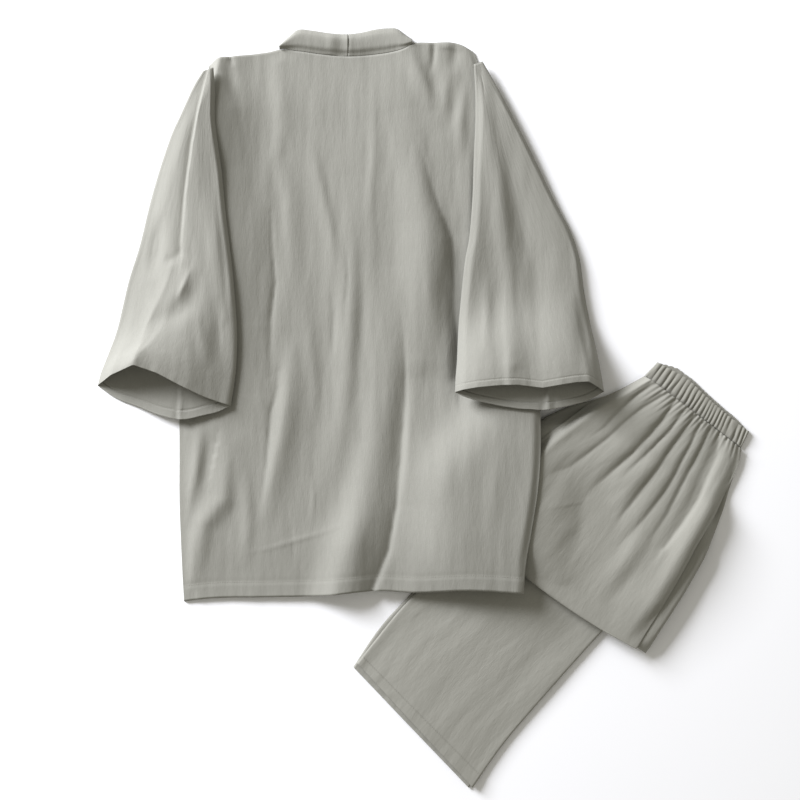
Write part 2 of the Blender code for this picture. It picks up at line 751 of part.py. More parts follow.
def lay_front(side, ground, root):
    """Lay one wrap front and the stretch of the neckband along its edge."""
    up = column(FRONT_EDGES, "up")
    edges = column(FRONT_EDGES, side + "_front")
    sign = 1.0 if side == "left" else -1.0
    along = np.linspace(0.0, 1.0, FRONT_ROWS)
    made = []
    for name, columns, is_band in (
        ("jacket_front_" + side, FRONT_COLUMNS, False),
        ("front_band_" + side, FRONT_BAND_COLUMNS, True),
    ):
        share, t = np.meshgrid(np.linspace(0.0, 1.0, columns), along)
        edge = curve(up, edges, t)
        u = edge if is_band else (share * edge if side == "left" else edge + share * (1 - edge))
        x, y = body_place(u, t)
        if is_band:
            reach = SEAM_GAP + share * FRONT_BAND_WIDTH
            x = x + sign * (reach if side == "left" else SEAM_GAP + (1 - share) * FRONT_BAND_WIDTH)
        z = over(ground.under(x, y, FRONT_REACH, SOFT_CELLS), LAY_GAP) + FRONT_WALL
        made.append((name, np.stack([x, y, z], axis=-1), COLLAR_CLOTH if is_band else JACKET_CLOTH))
    laid = [sheet(name, surface, FRONT_WALL, finish, root) for name, surface, finish in made]
    for piece in laid:
        ground.add(*piece)


def lay_back(ground, root):
    """Lay the back panel with its large folds, and return the points of its top edge."""
    u, t = np.meshgrid(np.linspace(0.0, 1.0, BACK_COLUMNS + 1), np.linspace(0.0, 1.0, BACK_ROWS + 1))
    x, y = body_place(u, t)
    left, _ = body_place(np.zeros(u.shape), t)
    right, _ = body_place(np.ones(u.shape), t)
    from_side = np.minimum(x - left, right - x)
    ends = BACK_END_PUFF + (1 - BACK_END_PUFF) * ease(t / BACK_END) * ease((1 - t) / BACK_END)
    puff = BACK_PUFF * ease(from_side / BACK_SOFT) * ends
    stand = np.maximum(puff + relief(x, y, BACK_FOLDS) * ease(from_side / BACK_SOFT * 2), 0.0)
    z = over(ground.under(x, y, BACK_REACH, SOFT_CELLS), LAY_GAP) + stand + WALL
    surface = np.stack([x, y, z], axis=-1)
    ground.add(*sheet("jacket_back", surface, WALL, JACKET_CLOTH, root))
    return u[-1], surface[-1]


def lay_collar(side, top_shares, top_edge, ground, root):
    """Lay one half of the neckband above the neck seam, made from the points of the back's top edge."""
    first, last = (NECK_LEFT, NECK_BACK) if side == "left" else (NECK_BACK, NECK_RIGHT)
    keep = [k for k, share in enumerate(top_shares) if first - NECK_MATCH <= share <= last + NECK_MATCH]
    x = top_edge[keep, 0]
    seam = top_edge[keep, 1] + SEAM_GAP
    if side == "left":
        x[-1] -= SEAM_GAP / 2
    else:
        x[0] += SEAM_GAP / 2
    height = np.maximum(curve(column(COLLAR_TOP, "x"), column(COLLAR_TOP, "y"), x) - seam, COLLAR_LEAST)
    share = np.linspace(0.0, 1.0, COLLAR_ROWS)[:, None]
    gx = np.repeat(x[None, :], COLLAR_ROWS, axis=0)
    gy = seam[None, :] + share * height[None, :]
    puff = COLLAR_PUFF * np.sin(np.pi * share) + 0 * gx
    z = np.maximum(top_edge[keep, 2][None, :] * (1 - share) + puff, 0.0) + COLLAR_WALL
    ground.add(*sheet("collar_" + side, np.stack([gx, gy, z], axis=-1), COLLAR_WALL, COLLAR_CLOTH, root))


def lay_sleeve(side, table, mouth, folds, ground, root):
    """Lay one sleeve: a flattened tube that rests on the back and the floor, with its cuff standing open."""
    knots = np.linspace(0.0, 1.0, len(table))
    across = column(mouth, "across")

    def place(wall, u, s):
        ox = curve(knots, column(table, "outer_x"), s)
        oy = curve(knots, column(table, "outer_y"), s)
        ix = curve(knots, column(table, "inner_x"), s)
        iy = curve(knots, column(table, "inner_y"), s)
        opened = ease((s - MOUTH_FROM) / (1 - MOUTH_FROM))
        back = curve(across, column(mouth, "back"), u)
        forward = curve(across, column(mouth, "forward"), u)
        return ox + (ix - ox) * u, oy + (iy - oy) * u + (back if wall == "upper" else -forward) * opened

    def base(x, y):
        return over(ground.under(x, y, SLEEVE_REACH, 2), LAY_GAP)

    def hollow(u, s):
        opened = ease((s - MOUTH_FROM) / (1 - MOUTH_FROM))
        round_up = np.sin(np.pi * np.clip(u, 0, 1)) ** SLEEVE_ROUND
        x, y = place("upper", u, s)
        flat = SLEEVE_PUFF * round_up * ease(s / SLEEVE_START) + relief(x, y, folds) * round_up
        return SLIT + np.maximum(flat, 0.0) + curve(across, column(mouth, "rise"), u) * opened

    u = shares(SLEEVE_ACROSS, SLEEVE_EDGE)
    stations = np.concatenate([knots[:-1], [(knots[-2] + knots[-1]) / 2, 1.0]])
    outer, inner = flat_loops(place, ("lower", "upper"), u, stations, WALL, hollow, base)
    ground.add(*tube("sleeve_" + side, outer, inner, False, JACKET_CLOTH, root))


def main():
    """Lay every piece, from the floor up."""
    clear_scene()
    root = bpy.data.objects.new("kimono_pyjama_set", None)
    bpy.context.scene.collection.objects.link(root)
    ground = Ground()
    lay_hem("trouser_hem_far", HEM_FAR, ground, root)
    lay_hem("trouser_hem_near", HEM_NEAR, ground, root)
    lay_stack(CORE_STACK, ground, root)
    lay_stack(FAR_STACK, ground, root)
    lay_near_leg(ground, root)
    lay_waistband(ground, root)
    lay_front("right", ground, root)
    lay_front("left", ground, root)
    top_shares, top_edge = lay_back(ground, root)
    lay_collar("left", top_shares, top_edge, ground, root)
    lay_collar("right", top_shares, top_edge, ground, root)
    lay_sleeve("left", LEFT_SLEEVE, LEFT_MOUTH, LEFT_SLEEVE_FOLDS, ground, root)
    lay_sleeve("right", RIGHT_SLEEVE, RIGHT_MOUTH, RIGHT_SLEEVE_FOLDS, ground, root)


main()
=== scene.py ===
"""The looks of a kimono pyjama set that lies flat on a pale surface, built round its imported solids.

Every piece is a thin shell of double gauze on the form of its own solid. The tables are in millimetres, with x
to the right of the set as it lies and y up towards the neckband. The pieces are laid from the floor up, and each
rests on the ones before it.
"""

from __future__ import annotations

import logging
import math
from dataclasses import dataclass
from enum import Enum
from typing import Iterable, NamedTuple, Sequence

import bpy
import numpy as np
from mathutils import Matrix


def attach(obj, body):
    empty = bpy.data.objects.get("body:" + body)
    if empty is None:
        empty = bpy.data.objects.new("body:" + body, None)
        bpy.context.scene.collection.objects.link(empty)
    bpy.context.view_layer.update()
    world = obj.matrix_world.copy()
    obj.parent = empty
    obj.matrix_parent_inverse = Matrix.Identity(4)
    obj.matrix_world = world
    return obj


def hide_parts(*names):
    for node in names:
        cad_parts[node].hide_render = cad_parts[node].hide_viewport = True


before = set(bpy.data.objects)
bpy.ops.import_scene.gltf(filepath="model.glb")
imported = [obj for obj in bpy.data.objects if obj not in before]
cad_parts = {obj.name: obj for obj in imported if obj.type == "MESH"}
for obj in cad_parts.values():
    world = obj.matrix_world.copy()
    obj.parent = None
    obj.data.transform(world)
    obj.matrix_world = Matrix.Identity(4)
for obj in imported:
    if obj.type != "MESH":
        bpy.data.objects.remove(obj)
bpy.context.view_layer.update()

LOG = logging.getLogger("kimono_pyjama_set")
MM = 0.001
Array = np.ndarray
Colour = tuple[float, float, float]

# How thick the cloth is and how closely it lies, in millimetres.
WALL = 1.0
SEAM_GAP = 0.3
LAY_GAP = 0.3
SLIT = 0.5
THREAD_LIFT = 0.15

# The least share of a cut's width times its length that its cloth covers.
LEAST_SHARE = 0.31

# The net of heights over the floor: how far it reaches from the middle, and its cells.
NET_X = 452.0
NET_Y = 524.0
NET_STEP = 3.0

# The uneven pattern of the ripples: its rows and columns, where it starts, and how fast a sharp fold falls.
PATTERN = (61, 67)
PATTERN_START = (17.3, 11.7)
SHARP_FALL = 1.4

# Where the points stand across the round edge of a flattened tube, as shares of its reach.
ROUND_SHARES = (0.0, 0.08, 0.25, 0.55, 1.0)

# How a rolled edge falls: places in from the edge, and the share of the drop at each.
ROLL_INSETS = (0.0, 0.15, 0.6, 1.3, 2.2, 3.4, 5.0, 7.0, 9.5)
ROLL_DROPS = (1.0, 0.72, 0.46, 0.3, 0.18, 0.09, 0.035, 0.01, 0.0)

# The jacket's outline: its sides at shares up, and its hem and its neckline's seam at shares across.
BODY_UP = (0.00, 0.05, 0.11, 0.19, 0.27, 0.33, 0.50, 0.70, 0.85, 0.93, 1.00)
BODY_LEFT = (-321, -323, -325, -327, -327, -327, -324, -316, -306, -298, -287)
BODY_RIGHT = (133, 135, 142, 151, 155, 155, 149, 129, 102, 86, 67)
HEM_ACROSS = (0.00, 0.05, 0.26, 0.40, 0.48, 0.58, 0.67, 0.85, 1.00)
HEM_Y = (-259, -256, -253, -251, -247, -244, -246, -242, -246)
NECK_LEFT = 0.266
NECK_BACK = 0.525
NECK_RIGHT = 0.768
TOP_ACROSS = (
    0.000, 0.028, 0.090, 0.180, 0.232, NECK_LEFT, 0.331, 0.441,
    NECK_BACK, 0.613, 0.681, 0.743, NECK_RIGHT, 0.842, 0.955, 1.000,
)
TOP_Y = (459, 466, 470, 474, 477, 480, 478, 473, 471, 473, 476, 482, 487, 489, 486, 477)


class Wall(Enum):
    """The two walls of a flattened tube."""

    LOWER = "lower"
    UPPER = "upper"


class Hand(Enum):
    """The two sides of the set, as it lies."""

    LEFT = "left"
    RIGHT = "right"


class Held(Enum):
    """How a sheet of cloth is held."""

    LAID = "laid"
    FOLDED = "folded"
    GATHERED = "gathered"


def curve(knots: Sequence[float], values: Sequence[float], at: Array) -> Array:
    """Read a smooth curve through the rows of a table.

    Args:
        knots: Where the rows stand, rising.
        values: The value of each row.
        at: Where to read the curve.

    Returns:
        The curve's value at each place.
    """
    knot = np.asarray(knots, float)
    value = np.asarray(values, float)
    slope = np.gradient(value, knot)
    at = np.clip(at, knot[0], knot[-1])
    row = np.clip(np.searchsorted(knot, at, side="right") - 1, 0, len(knot) - 2)
    step = knot[row + 1] - knot[row]
    part = (at - knot[row]) / step
    rest = 1 - part
    return (
        (1 + 2 * part) * rest**2 * value[row]
        + part * rest**2 * step * slope[row]
        + part**2 * (3 - 2 * part) * value[row + 1]
        - part**2 * rest * step * slope[row + 1]
    )


def ease(share: Array) -> Array:
    """Return a soft step from nought to one."""
    share = np.clip(share, 0.0, 1.0)
    return share * share * (3 - 2 * share)


def ripple(u: Array, v: Array, across: float, along: float, seed: int) -> Array:
    """Return smooth uneven waves between about minus one and one.

    Args:
        u: Place across the cloth, in millimetres.
        v: Place along the cloth, in millimetres.
        across: Typical size of a wave across.
        along: Typical size of a wave along.
        seed: Which of the many uneven patterns it is.

    Returns:
        The height of the waves at each place.
    """
    values = np.random.default_rng(seed).uniform(-1.0, 1.0, PATTERN)
    a = u / across + PATTERN_START[0]
    b = v / along + PATTERN_START[1]
    i = np.floor(a).astype(int)
    j = np.floor(b).astype(int)
    fa = ease(a - i)
    fb = ease(b - j)
    i, after_i = i % PATTERN[0], (i + 1) % PATTERN[0]
    j, after_j = j % PATTERN[1], (j + 1) % PATTERN[1]
    top = values[i, j] * (1 - fa) + values[after_i, j] * fa
    low = values[i, after_j] * (1 - fa) + values[after_i, after_j] * fa
    return top * (1 - fb) + low * fb


@dataclass(frozen=True)
class Fold:
    """A ridge, or a trough where its rise is negative.

    The rise is given where the fold starts, halfway and where it ends, and left and right say how wide it falls to
    each side of its path, which runs down the cloth. Flare says how much wider it is at its end than at its start.
    """

    start: float
    middle: float
    end: float
    left: float
    right: float
    path: tuple[tuple[float, float], ...]
    flare: float = 0.0
    sharp: bool = False

    def height(self, x: Array, y: Array) -> Array:
        """Return the height that the fold adds.

        Args:
            x: Place of each point.
            y: Place of each point.

        Returns:
            The height at each point, greatest on the fold's path.
        """
        path = np.array(self.path, float)
        steps = np.diff(path, axis=0)
        lengths = np.hypot(steps[:, 0], steps[:, 1])
        run = np.concatenate([[0.0], np.cumsum(lengths)])
        best = np.full(np.shape(x), np.inf)
        side = np.zeros(np.shape(x))
        share = np.zeros(np.shape(x))
        for (ax, ay), (dx, dy), length, start in zip(path, steps, lengths, run):
            along = np.clip(((x - ax) * dx + (y - ay) * dy) / length**2, 0.0, 1.0)
            distance = np.hypot(x - ax - along * dx, y - ay - along * dy)
            nearer = distance < best
            best = np.where(nearer, distance, best)
            side = np.where(nearer, (y - ay) * dx - (x - ax) * dy, side)
            share = np.where(nearer, (start + along * length) / run[-1], share)
        width = np.where(side > 0, self.right, self.left) * (1 + self.flare * share)
        rise = curve((0.0, 0.5, 1.0), (self.start, self.middle, self.end), share)
        if self.sharp:
            return rise * np.exp(-SHARP_FALL * best / width)
        return rise * np.exp(-((best / width) ** 2))


def relief(x: Array, y: Array, folds: Iterable[Fold]) -> Array:
    """Return the height that all the folds add at each point.

    Args:
        x: Place of each point.
        y: Place of each point.
        folds: The folds.

    Returns:
        The height at each point.
    """
    total = np.zeros(np.shape(x))
    for fold in folds:
        total += fold.height(x, y)
    return total


@dataclass(frozen=True)
class Crinkle:
    """One size of the cloth's uneven crinkles: how far they run, how high they stand, and which pattern it is."""

    across: float
    along: float
    height: float
    seed: int

    def at(self, u: Array, v: Array) -> Array:
        """Return the height of the crinkles at each place on the cloth."""
        return self.height * ripple(u, v, self.across, self.along, self.seed)


def crinkled(u: Array, v: Array, sizes: Iterable[Crinkle]) -> Array:
    """Return the height of all the sizes of crinkles together.

    Args:
        u: Place across the cloth.
        v: Place along the cloth.
        sizes: The sizes of crinkles.

    Returns:
        The height at each point.
    """
    total = np.zeros(np.shape(u))
    for size in sizes:
        total += size.at(u, v)
    return total


def shifted(heights: Array, cells: int, axis: int) -> list[Array]:
    """Return copies of a net, moved by each number of cells up to a reach.

    Args:
        heights: The net.
        cells: The reach, both ways.
        axis: The way to move it.

    Returns:
        One net for each step.
    """
    pad = [(cells, cells) if a == axis else (0, 0) for a in (0, 1)]
    padded = np.pad(heights, pad, mode="edge")
    size = heights.shape[axis]
    return [np.take(padded, range(k, k + size), axis=axis) for k in range(2 * cells + 1)]


def widest(heights: Array, cells: int) -> Array:
    """Return the highest value within some cells of each.

    Args:
        heights: A net of heights.
        cells: How many cells each way.

    Returns:
        The raised net.
    """
    for axis in (0, 1):
        heights = np.maximum.reduce(shifted(heights, cells, axis))
    return heights


def spread(heights: Array, cells: int) -> Array:
    """Return the heights averaged twice over some cells each way.

    Args:
        heights: A net of heights.
        cells: How many cells each way.

    Returns:
        The softened net.
    """
    for axis in (0, 1, 0, 1):
        heights = np.mean(shifted(heights, cells, axis), axis=0)
    return heights


class Ground:
    """The height of all that has been laid so far, on a square net over the floor."""

    def __init__(self) -> None:
        """Start with the bare floor."""
        self.columns = int(2 * NET_X / NET_STEP) + 1
        self.rows = int(2 * NET_Y / NET_STEP) + 1
        self.heights = np.zeros((self.rows, self.columns))

    def add(self, points: Array) -> None:
        """Raise the net to the points of a piece, which lie closer together than the net's cells.

        Args:
            points: The piece's points, in millimetres.
        """
        flat = points.reshape(-1, 3)
        i = np.clip(np.rint((flat[:, 0] + NET_X) / NET_STEP).astype(int), 0, self.columns - 1)
        j = np.clip(np.rint((flat[:, 1] + NET_Y) / NET_STEP).astype(int), 0, self.rows - 1)
        np.maximum.at(self.heights, (j, i), flat[:, 2])

    def under(self, x: Array, y: Array, reach: int, soft: int) -> Array:
        """Return the height that a piece has to clear.

        Args:
            x: Place of each point of the piece.
            y: Place of each point of the piece.
            reach: Cells within which everything is cleared.
            soft: Cells over which the height is eased.

        Returns:
            The height to clear at each point.
        """
        top = widest(self.heights, reach + 2 * soft)
        if soft:
            top = spread(top, soft)
        across = np.clip((x + NET_X) / NET_STEP, 0, self.columns - 1.001)
        up = np.clip((y + NET_Y) / NET_STEP, 0, self.rows - 1.001)
        i = across.astype(int)
        j = up.astype(int)
        fi = across - i
        fj = up - j
        low = top[j, i] * (1 - fi) + top[j, i + 1] * fi
        high = top[j + 1, i] * (1 - fi) + top[j + 1, i + 1] * fi
        return low * (1 - fj) + high * fj

    def carry(self, x: Array, y: Array, stand: Array, drop: Array, soft: int) -> Array:
        """Return the height of a sheet's upper face, which rolls down at its edges.

        Args:
            x: Place of each point.
            y: Place of each point.
            stand: How far it stands up from what carries it.
            drop: How far it has rolled down, from nought to one.
            soft: Cells over which the height that carries it is eased.

        Returns:
            The height at each point.
        """
        high = over(self.under(x, y, 1, soft), LAY_GAP) + stand
        low = np.minimum(over(self.under(x, y, 0, 2), LAY_GAP), high)
        return high - drop * (high - low) + WALL


def over(height: Array, gap: float) -> Array:
    """Return the height at which a piece lies: on the bare floor, or a gap above what it lies on."""
    return height + gap * ease(height / gap)


def body_place(u: Array, t: Array) -> tuple[Array, Array]:
    """Return the x and y of the jacket's point at a share across and a share up.

    Args:
        u: Share across.
        t: Share up.

    Returns:
        The point's x and y.
    """
    left = curve(BODY_UP, BODY_LEFT, t)
    right = curve(BODY_UP, BODY_RIGHT, t)
    hem = curve(HEM_ACROSS, HEM_Y, u)
    top = curve(TOP_ACROSS, TOP_Y, u)
    return left + (right - left) * u, hem + (top - hem) * t


class Leg(NamedTuple):
    """A section across a trouser stretch: its left edge, its right edge, and how far it bows."""

    left_x: float
    left_y: float
    right_x: float
    right_y: float
    bow: float = 0.0


def leg_place(table: Sequence[Leg], u: Array, t: Array) -> tuple[Array, Array]:
    """Return the point of a trouser stretch.

    Args:
        table: Its sections.
        u: Share across.
        t: Share along.

    Returns:
        The point's x and y.
    """
    knots = np.linspace(0.0, 1.0, len(table))
    left_x, left_y, right_x, right_y, bow = (curve(knots, values, t) for values in zip(*table))
    bow = bow * 4 * u * (1 - u)
    width = np.hypot(right_x - left_x, right_y - left_y)
    x = left_x + (right_x - left_x) * u + bow * (right_y - left_y) / width
    y = left_y + (right_y - left_y) * u - bow * (right_x - left_x) / width
    return x, y


class Mesher:
    """Turns nets of points in millimetres into closed meshes with a map of the cloth's own grain."""

    @staticmethod
    def net(rows: int, columns: int, start: int, flip: bool, closed: bool = False) -> Array:
        """Return the four-sided faces of a net of points.

        Args:
            rows: Rows of points.
            columns: Points in a row.
            start: Index of the first point.
            flip: Whether the faces look the other way.
            closed: Whether each row runs round to its start.

        Returns:
            Four indices for each face.
        """
        across = np.arange(columns if closed else columns - 1)
        j, i = np.meshgrid(np.arange(rows - 1), across, indexing="ij")
        n = (i + 1) % columns
        quads = np.stack([j * columns + i, j * columns + n, (j + 1) * columns + n, (j + 1) * columns + i], axis=-1)
        quads = quads.reshape(-1, 4) + start
        return quads[:, ::-1] if flip else quads

    @staticmethod
    def rim(rows: int, columns: int) -> Array:
        """Return the indices round a net of points, in order.

        Args:
            rows: Rows of points.
            columns: Points in a row.

        Returns:
            A closed loop of indices.
        """
        bottom = np.arange(columns)
        right = np.arange(1, rows) * columns + columns - 1
        top = (rows - 1) * columns + np.arange(columns - 2, -1, -1)
        left = np.arange(rows - 2, 0, -1) * columns
        return np.concatenate([bottom, right, top, left])

    @staticmethod
    def between(first: Array, second: Array) -> Array:
        """Return the faces between two closed loops of indices."""
        return np.stack([first, np.roll(first, -1), np.roll(second, -1), second], axis=-1)

    @staticmethod
    def make(name: str, points: Array, quads: Array, grain: Array) -> bpy.types.Object:
        """Make one mesh object from points and four-sided faces.

        Args:
            name: The object's name.
            points: Points in millimetres.
            quads: Four indices for each face.
            grain: Place of each point on the cloth, across and along, in metres.

        Returns:
            The new object, at the origin.
        """
        a, b, c, d = (points[quads[:, k]] for k in range(4))
        normal = np.cross(c - a, d - b)
        if np.einsum("ij,ij->i", a + b + c + d, normal).sum() < 0:
            quads = quads[:, ::-1]
        mesh = bpy.data.meshes.new(name)
        mesh.vertices.add(len(points))
        mesh.vertices.foreach_set("co", (points * MM).astype(np.float32).ravel())
        mesh.loops.add(quads.size)
        mesh.loops.foreach_set("vertex_index", quads.astype(np.int32).ravel())
        mesh.polygons.add(len(quads))
        mesh.polygons.foreach_set("loop_start", (np.arange(len(quads)) * 4).astype(np.int32))
        mesh.polygons.foreach_set("use_smooth", np.ones(len(quads), bool))
        layer = mesh.uv_layers.new(name="grain")
        layer.data.foreach_set("uv", grain[quads.ravel()].astype(np.float32).ravel())
        mesh.update(calc_edges=True)
        mesh.validate()
        return new_object(name, mesh)

    @classmethod
    def sheet(cls, name: str, surface: Array, wall: float, grain: Array) -> bpy.types.Object:
        """Make a sheet whose upper face is a net of points and whose wall lies under it.

        Args:
            name: The object's name.
            surface: Rows of points of the upper face.
            wall: The cloth's thickness.
            grain: Place of each point on the cloth, in metres.

        Returns:
            The new object.
        """
        rows, columns = surface.shape[:2]
        normal = np.cross(np.gradient(surface, axis=1), np.gradient(surface, axis=0))
        normal *= np.sign(normal[..., 2:3] + 1e-12)
        normal /= np.linalg.norm(normal, axis=2, keepdims=True)
        under = surface - normal * wall
        count = rows * columns
        rim = cls.rim(rows, columns)
        quads = np.concatenate(
            [
                cls.net(rows, columns, 0, False),
                cls.net(rows, columns, count, True),
                cls.between(rim + count, rim),
            ]
        )
        points = np.concatenate([surface.reshape(-1, 3), under.reshape(-1, 3)])
        flat = grain.reshape(-1, 2)
        return cls.make(name, points, quads, np.concatenate([flat, flat]))

    @classmethod
    def tube(cls, name: str, outer: Array, inner: Array, grain: Array, open_start: bool) -> bpy.types.Object:
        """Make a flattened tube from loops of points.

        Args:
            name: The object's name.
            outer: A loop of points for each station, along the lower wall and back along the upper.
            inner: The same loops on the inside.
            grain: Place of each point on the cloth, in metres.
            open_start: Whether the tube is open at its start too.

        Returns:
            The new object.
        """
        stations, count = outer.shape[:2]
        first = 0 if open_start else 1
        base = stations * count
        end = np.arange(count)
        parts = [
            cls.net(stations, count, 0, False, closed=True),
            cls.net(stations - first, count, base, True, closed=True),
            cls.between(end + (stations - 1) * count, end + base + (stations - 1 - first) * count),
        ]
        if open_start:
            parts.append(cls.between(end + base, end))
        else:
            parts.append(cls.ladder(0, count)[:, ::-1])
            parts.append(cls.ladder(base, count))
        points = np.concatenate([outer.reshape(-1, 3), inner[first:].reshape(-1, 3)])
        flat = np.concatenate([grain.reshape(-1, 2), grain[first:].reshape(-1, 2)])
        return cls.make(name, points, np.concatenate(parts), flat)

    @staticmethod
    def ladder(start: int, count: int) -> Array:
        """Return the faces that close a flattened loop, from its lower wall to its upper wall.

        Args:
            start: Index of the loop's first point.
            count: Points in the loop.

        Returns:
            Four indices for each face.
        """
        k = np.arange(count // 2)
        return start + np.stack([k, k + 1, (count - k - 1) % count, (count - k) % count], axis=-1)


def new_object(name: str, data: bpy.types.ID) -> bpy.types.Object:
    """Put a new object into the scene, at the origin."""
    made = bpy.data.objects.new(name, data)
    bpy.context.scene.collection.objects.link(made)
    return made


def plain_material(
    name: str, colour: Colour, roughness: float, specular: float = 0.5
) -> bpy.types.Material:
    """Make a material of one colour.

    Args:
        name: The material's name.
        colour: Its colour.
        roughness: How rough it is.
        specular: How strongly it shines.

    Returns:
        The new material.
    """
    made = bpy.data.materials.new(name)
    made.use_nodes = True
    shader = made.node_tree.nodes["Principled BSDF"]
    shader.inputs["Base Color"].default_value = (*colour, 1.0)
    shader.inputs["Roughness"].default_value = roughness
    shader.inputs["Specular IOR Level"].default_value = specular
    return made


class Grain(NamedTuple):
    """A noise drawn out along the grain: waves per metre across and along, and how many finer sizes it holds."""

    across: float
    along: float
    detail: float

    def value(self, tree: bpy.types.NodeTree, place: bpy.types.Node) -> bpy.types.NodeSocket:
        """Add the noise to a material.

        Args:
            tree: The material's nodes.
            place: The node that gives the place on the cloth.

        Returns:
            The noise's value.
        """
        turn = tree.nodes.new("ShaderNodeMapping")
        turn.inputs["Scale"].default_value = (self.across, self.along, 1.0)
        tree.links.new(place.outputs["UV"], turn.inputs["Vector"])
        noise = tree.nodes.new("ShaderNodeTexNoise")
        noise.noise_dimensions = "2D"
        for label, value in (("Scale", 1.0), ("Detail", self.detail), ("Roughness", 0.55)):
            noise.inputs[label].default_value = value
        tree.links.new(turn.outputs["Vector"], noise.inputs["Vector"])
        return noise.outputs["Fac"]


SLUBS = Grain(700.0, 110.0, 3.0)
STREAKS = Grain(240.0, 34.0, 2.0)
CRINKLES = Grain(120.0, 36.0, 4.0)
THREADS = Grain(800.0, 700.0, 2.0)


@dataclass(frozen=True)
class ClothFinish:
    """A matt double gauze: its colour, how much the slubs change it, and its textures' depths in millimetres."""

    name: str
    colour: Colour
    slub: float = 0.075
    crinkle_depth: float = 0.42
    slub_depth: float = 0.14
    thread_depth: float = 0.084

    def material(self) -> bpy.types.Material:
        """Return the finish's material, made once."""
        found = bpy.data.materials.get(self.name)
        if found:
            return found
        made = plain_material(self.name, self.colour, roughness=0.92, specular=0.18)
        tree = made.node_tree
        shader = tree.nodes["Principled BSDF"]
        shader.inputs["Sheen Weight"].default_value = 0.05
        shader.inputs["Sheen Roughness"].default_value = 0.6
        place = tree.nodes.new("ShaderNodeUVMap")
        place.uv_map = "grain"
        slubs, streaks, crinkles, threads = (
            grain.value(tree, place) for grain in (SLUBS, STREAKS, CRINKLES, THREADS)
        )
        tones = ((slubs, 0.7), (streaks, 0.4), (threads, 0.9))
        tree.links.new(self.tone(tree, tones), shader.inputs["Base Color"])
        normal = None
        depths = ((crinkles, self.crinkle_depth), (slubs, self.slub_depth), (threads, self.thread_depth))
        for height, depth in depths:
            bump = tree.nodes.new("ShaderNodeBump")
            bump.inputs["Strength"].default_value = 1.0
            bump.inputs["Distance"].default_value = depth * MM
            tree.links.new(height, bump.inputs["Height"])
            if normal is not None:
                tree.links.new(normal, bump.inputs["Normal"])
            normal = bump.outputs["Normal"]
        tree.links.new(normal, shader.inputs["Normal"])
        return made

    def tone(
        self, tree: bpy.types.NodeTree, parts: Sequence[tuple[bpy.types.NodeSocket, float]]
    ) -> bpy.types.NodeSocket:
        """Mix the cloth's darker and lighter tones.

        Args:
            tree: The material's nodes.
            parts: The noises that mix the tones, each with its weight.

        Returns:
            The mixed colour.
        """
        mix = tree.nodes.new("ShaderNodeMix")
        mix.data_type = "RGBA"
        for label, change in (("A", 1 - self.slub), ("B", 1 + self.slub)):
            mix.inputs[label].default_value = (*[min(1.0, c * change) for c in self.colour], 1.0)
        total = None
        for value, weight in parts:
            part = tree.nodes.new("ShaderNodeMath")
            part.operation = "MULTIPLY_ADD"
            part.inputs[1].default_value = weight
            part.inputs[2].default_value = -0.5
            tree.links.new(value, part.inputs[0])
            if total is not None:
                tree.links.new(total, part.inputs[2])
            total = part.outputs["Value"]
        tree.links.new(total, mix.inputs["Factor"])
        return mix.outputs["Result"]


JACKET_CLOTH = ClothFinish("jacket_double_gauze", (0.272, 0.268, 0.234))
# The trousers are painted a little lighter than the jacket's gauze. This painted light makes up for the lamp's
# light falling off towards the lower right.
TROUSER_CLOTH = ClothFinish("trouser_double_gauze", (0.295, 0.29, 0.252))
BAND_CLOTH = ClothFinish("casing_double_gauze", (0.276, 0.270, 0.232))


@dataclass(frozen=True)
class ThreadFinish:
    """The sewing thread, a little lighter than the cloth."""

    name: str = "sewing_thread"
    colour: Colour = (0.30, 0.292, 0.25)
    roughness: float = 0.8

    def material(self) -> bpy.types.Material:
        """Return the thread's material, made once."""
        return bpy.data.materials.get(self.name) or plain_material(self.name, self.colour, self.roughness)


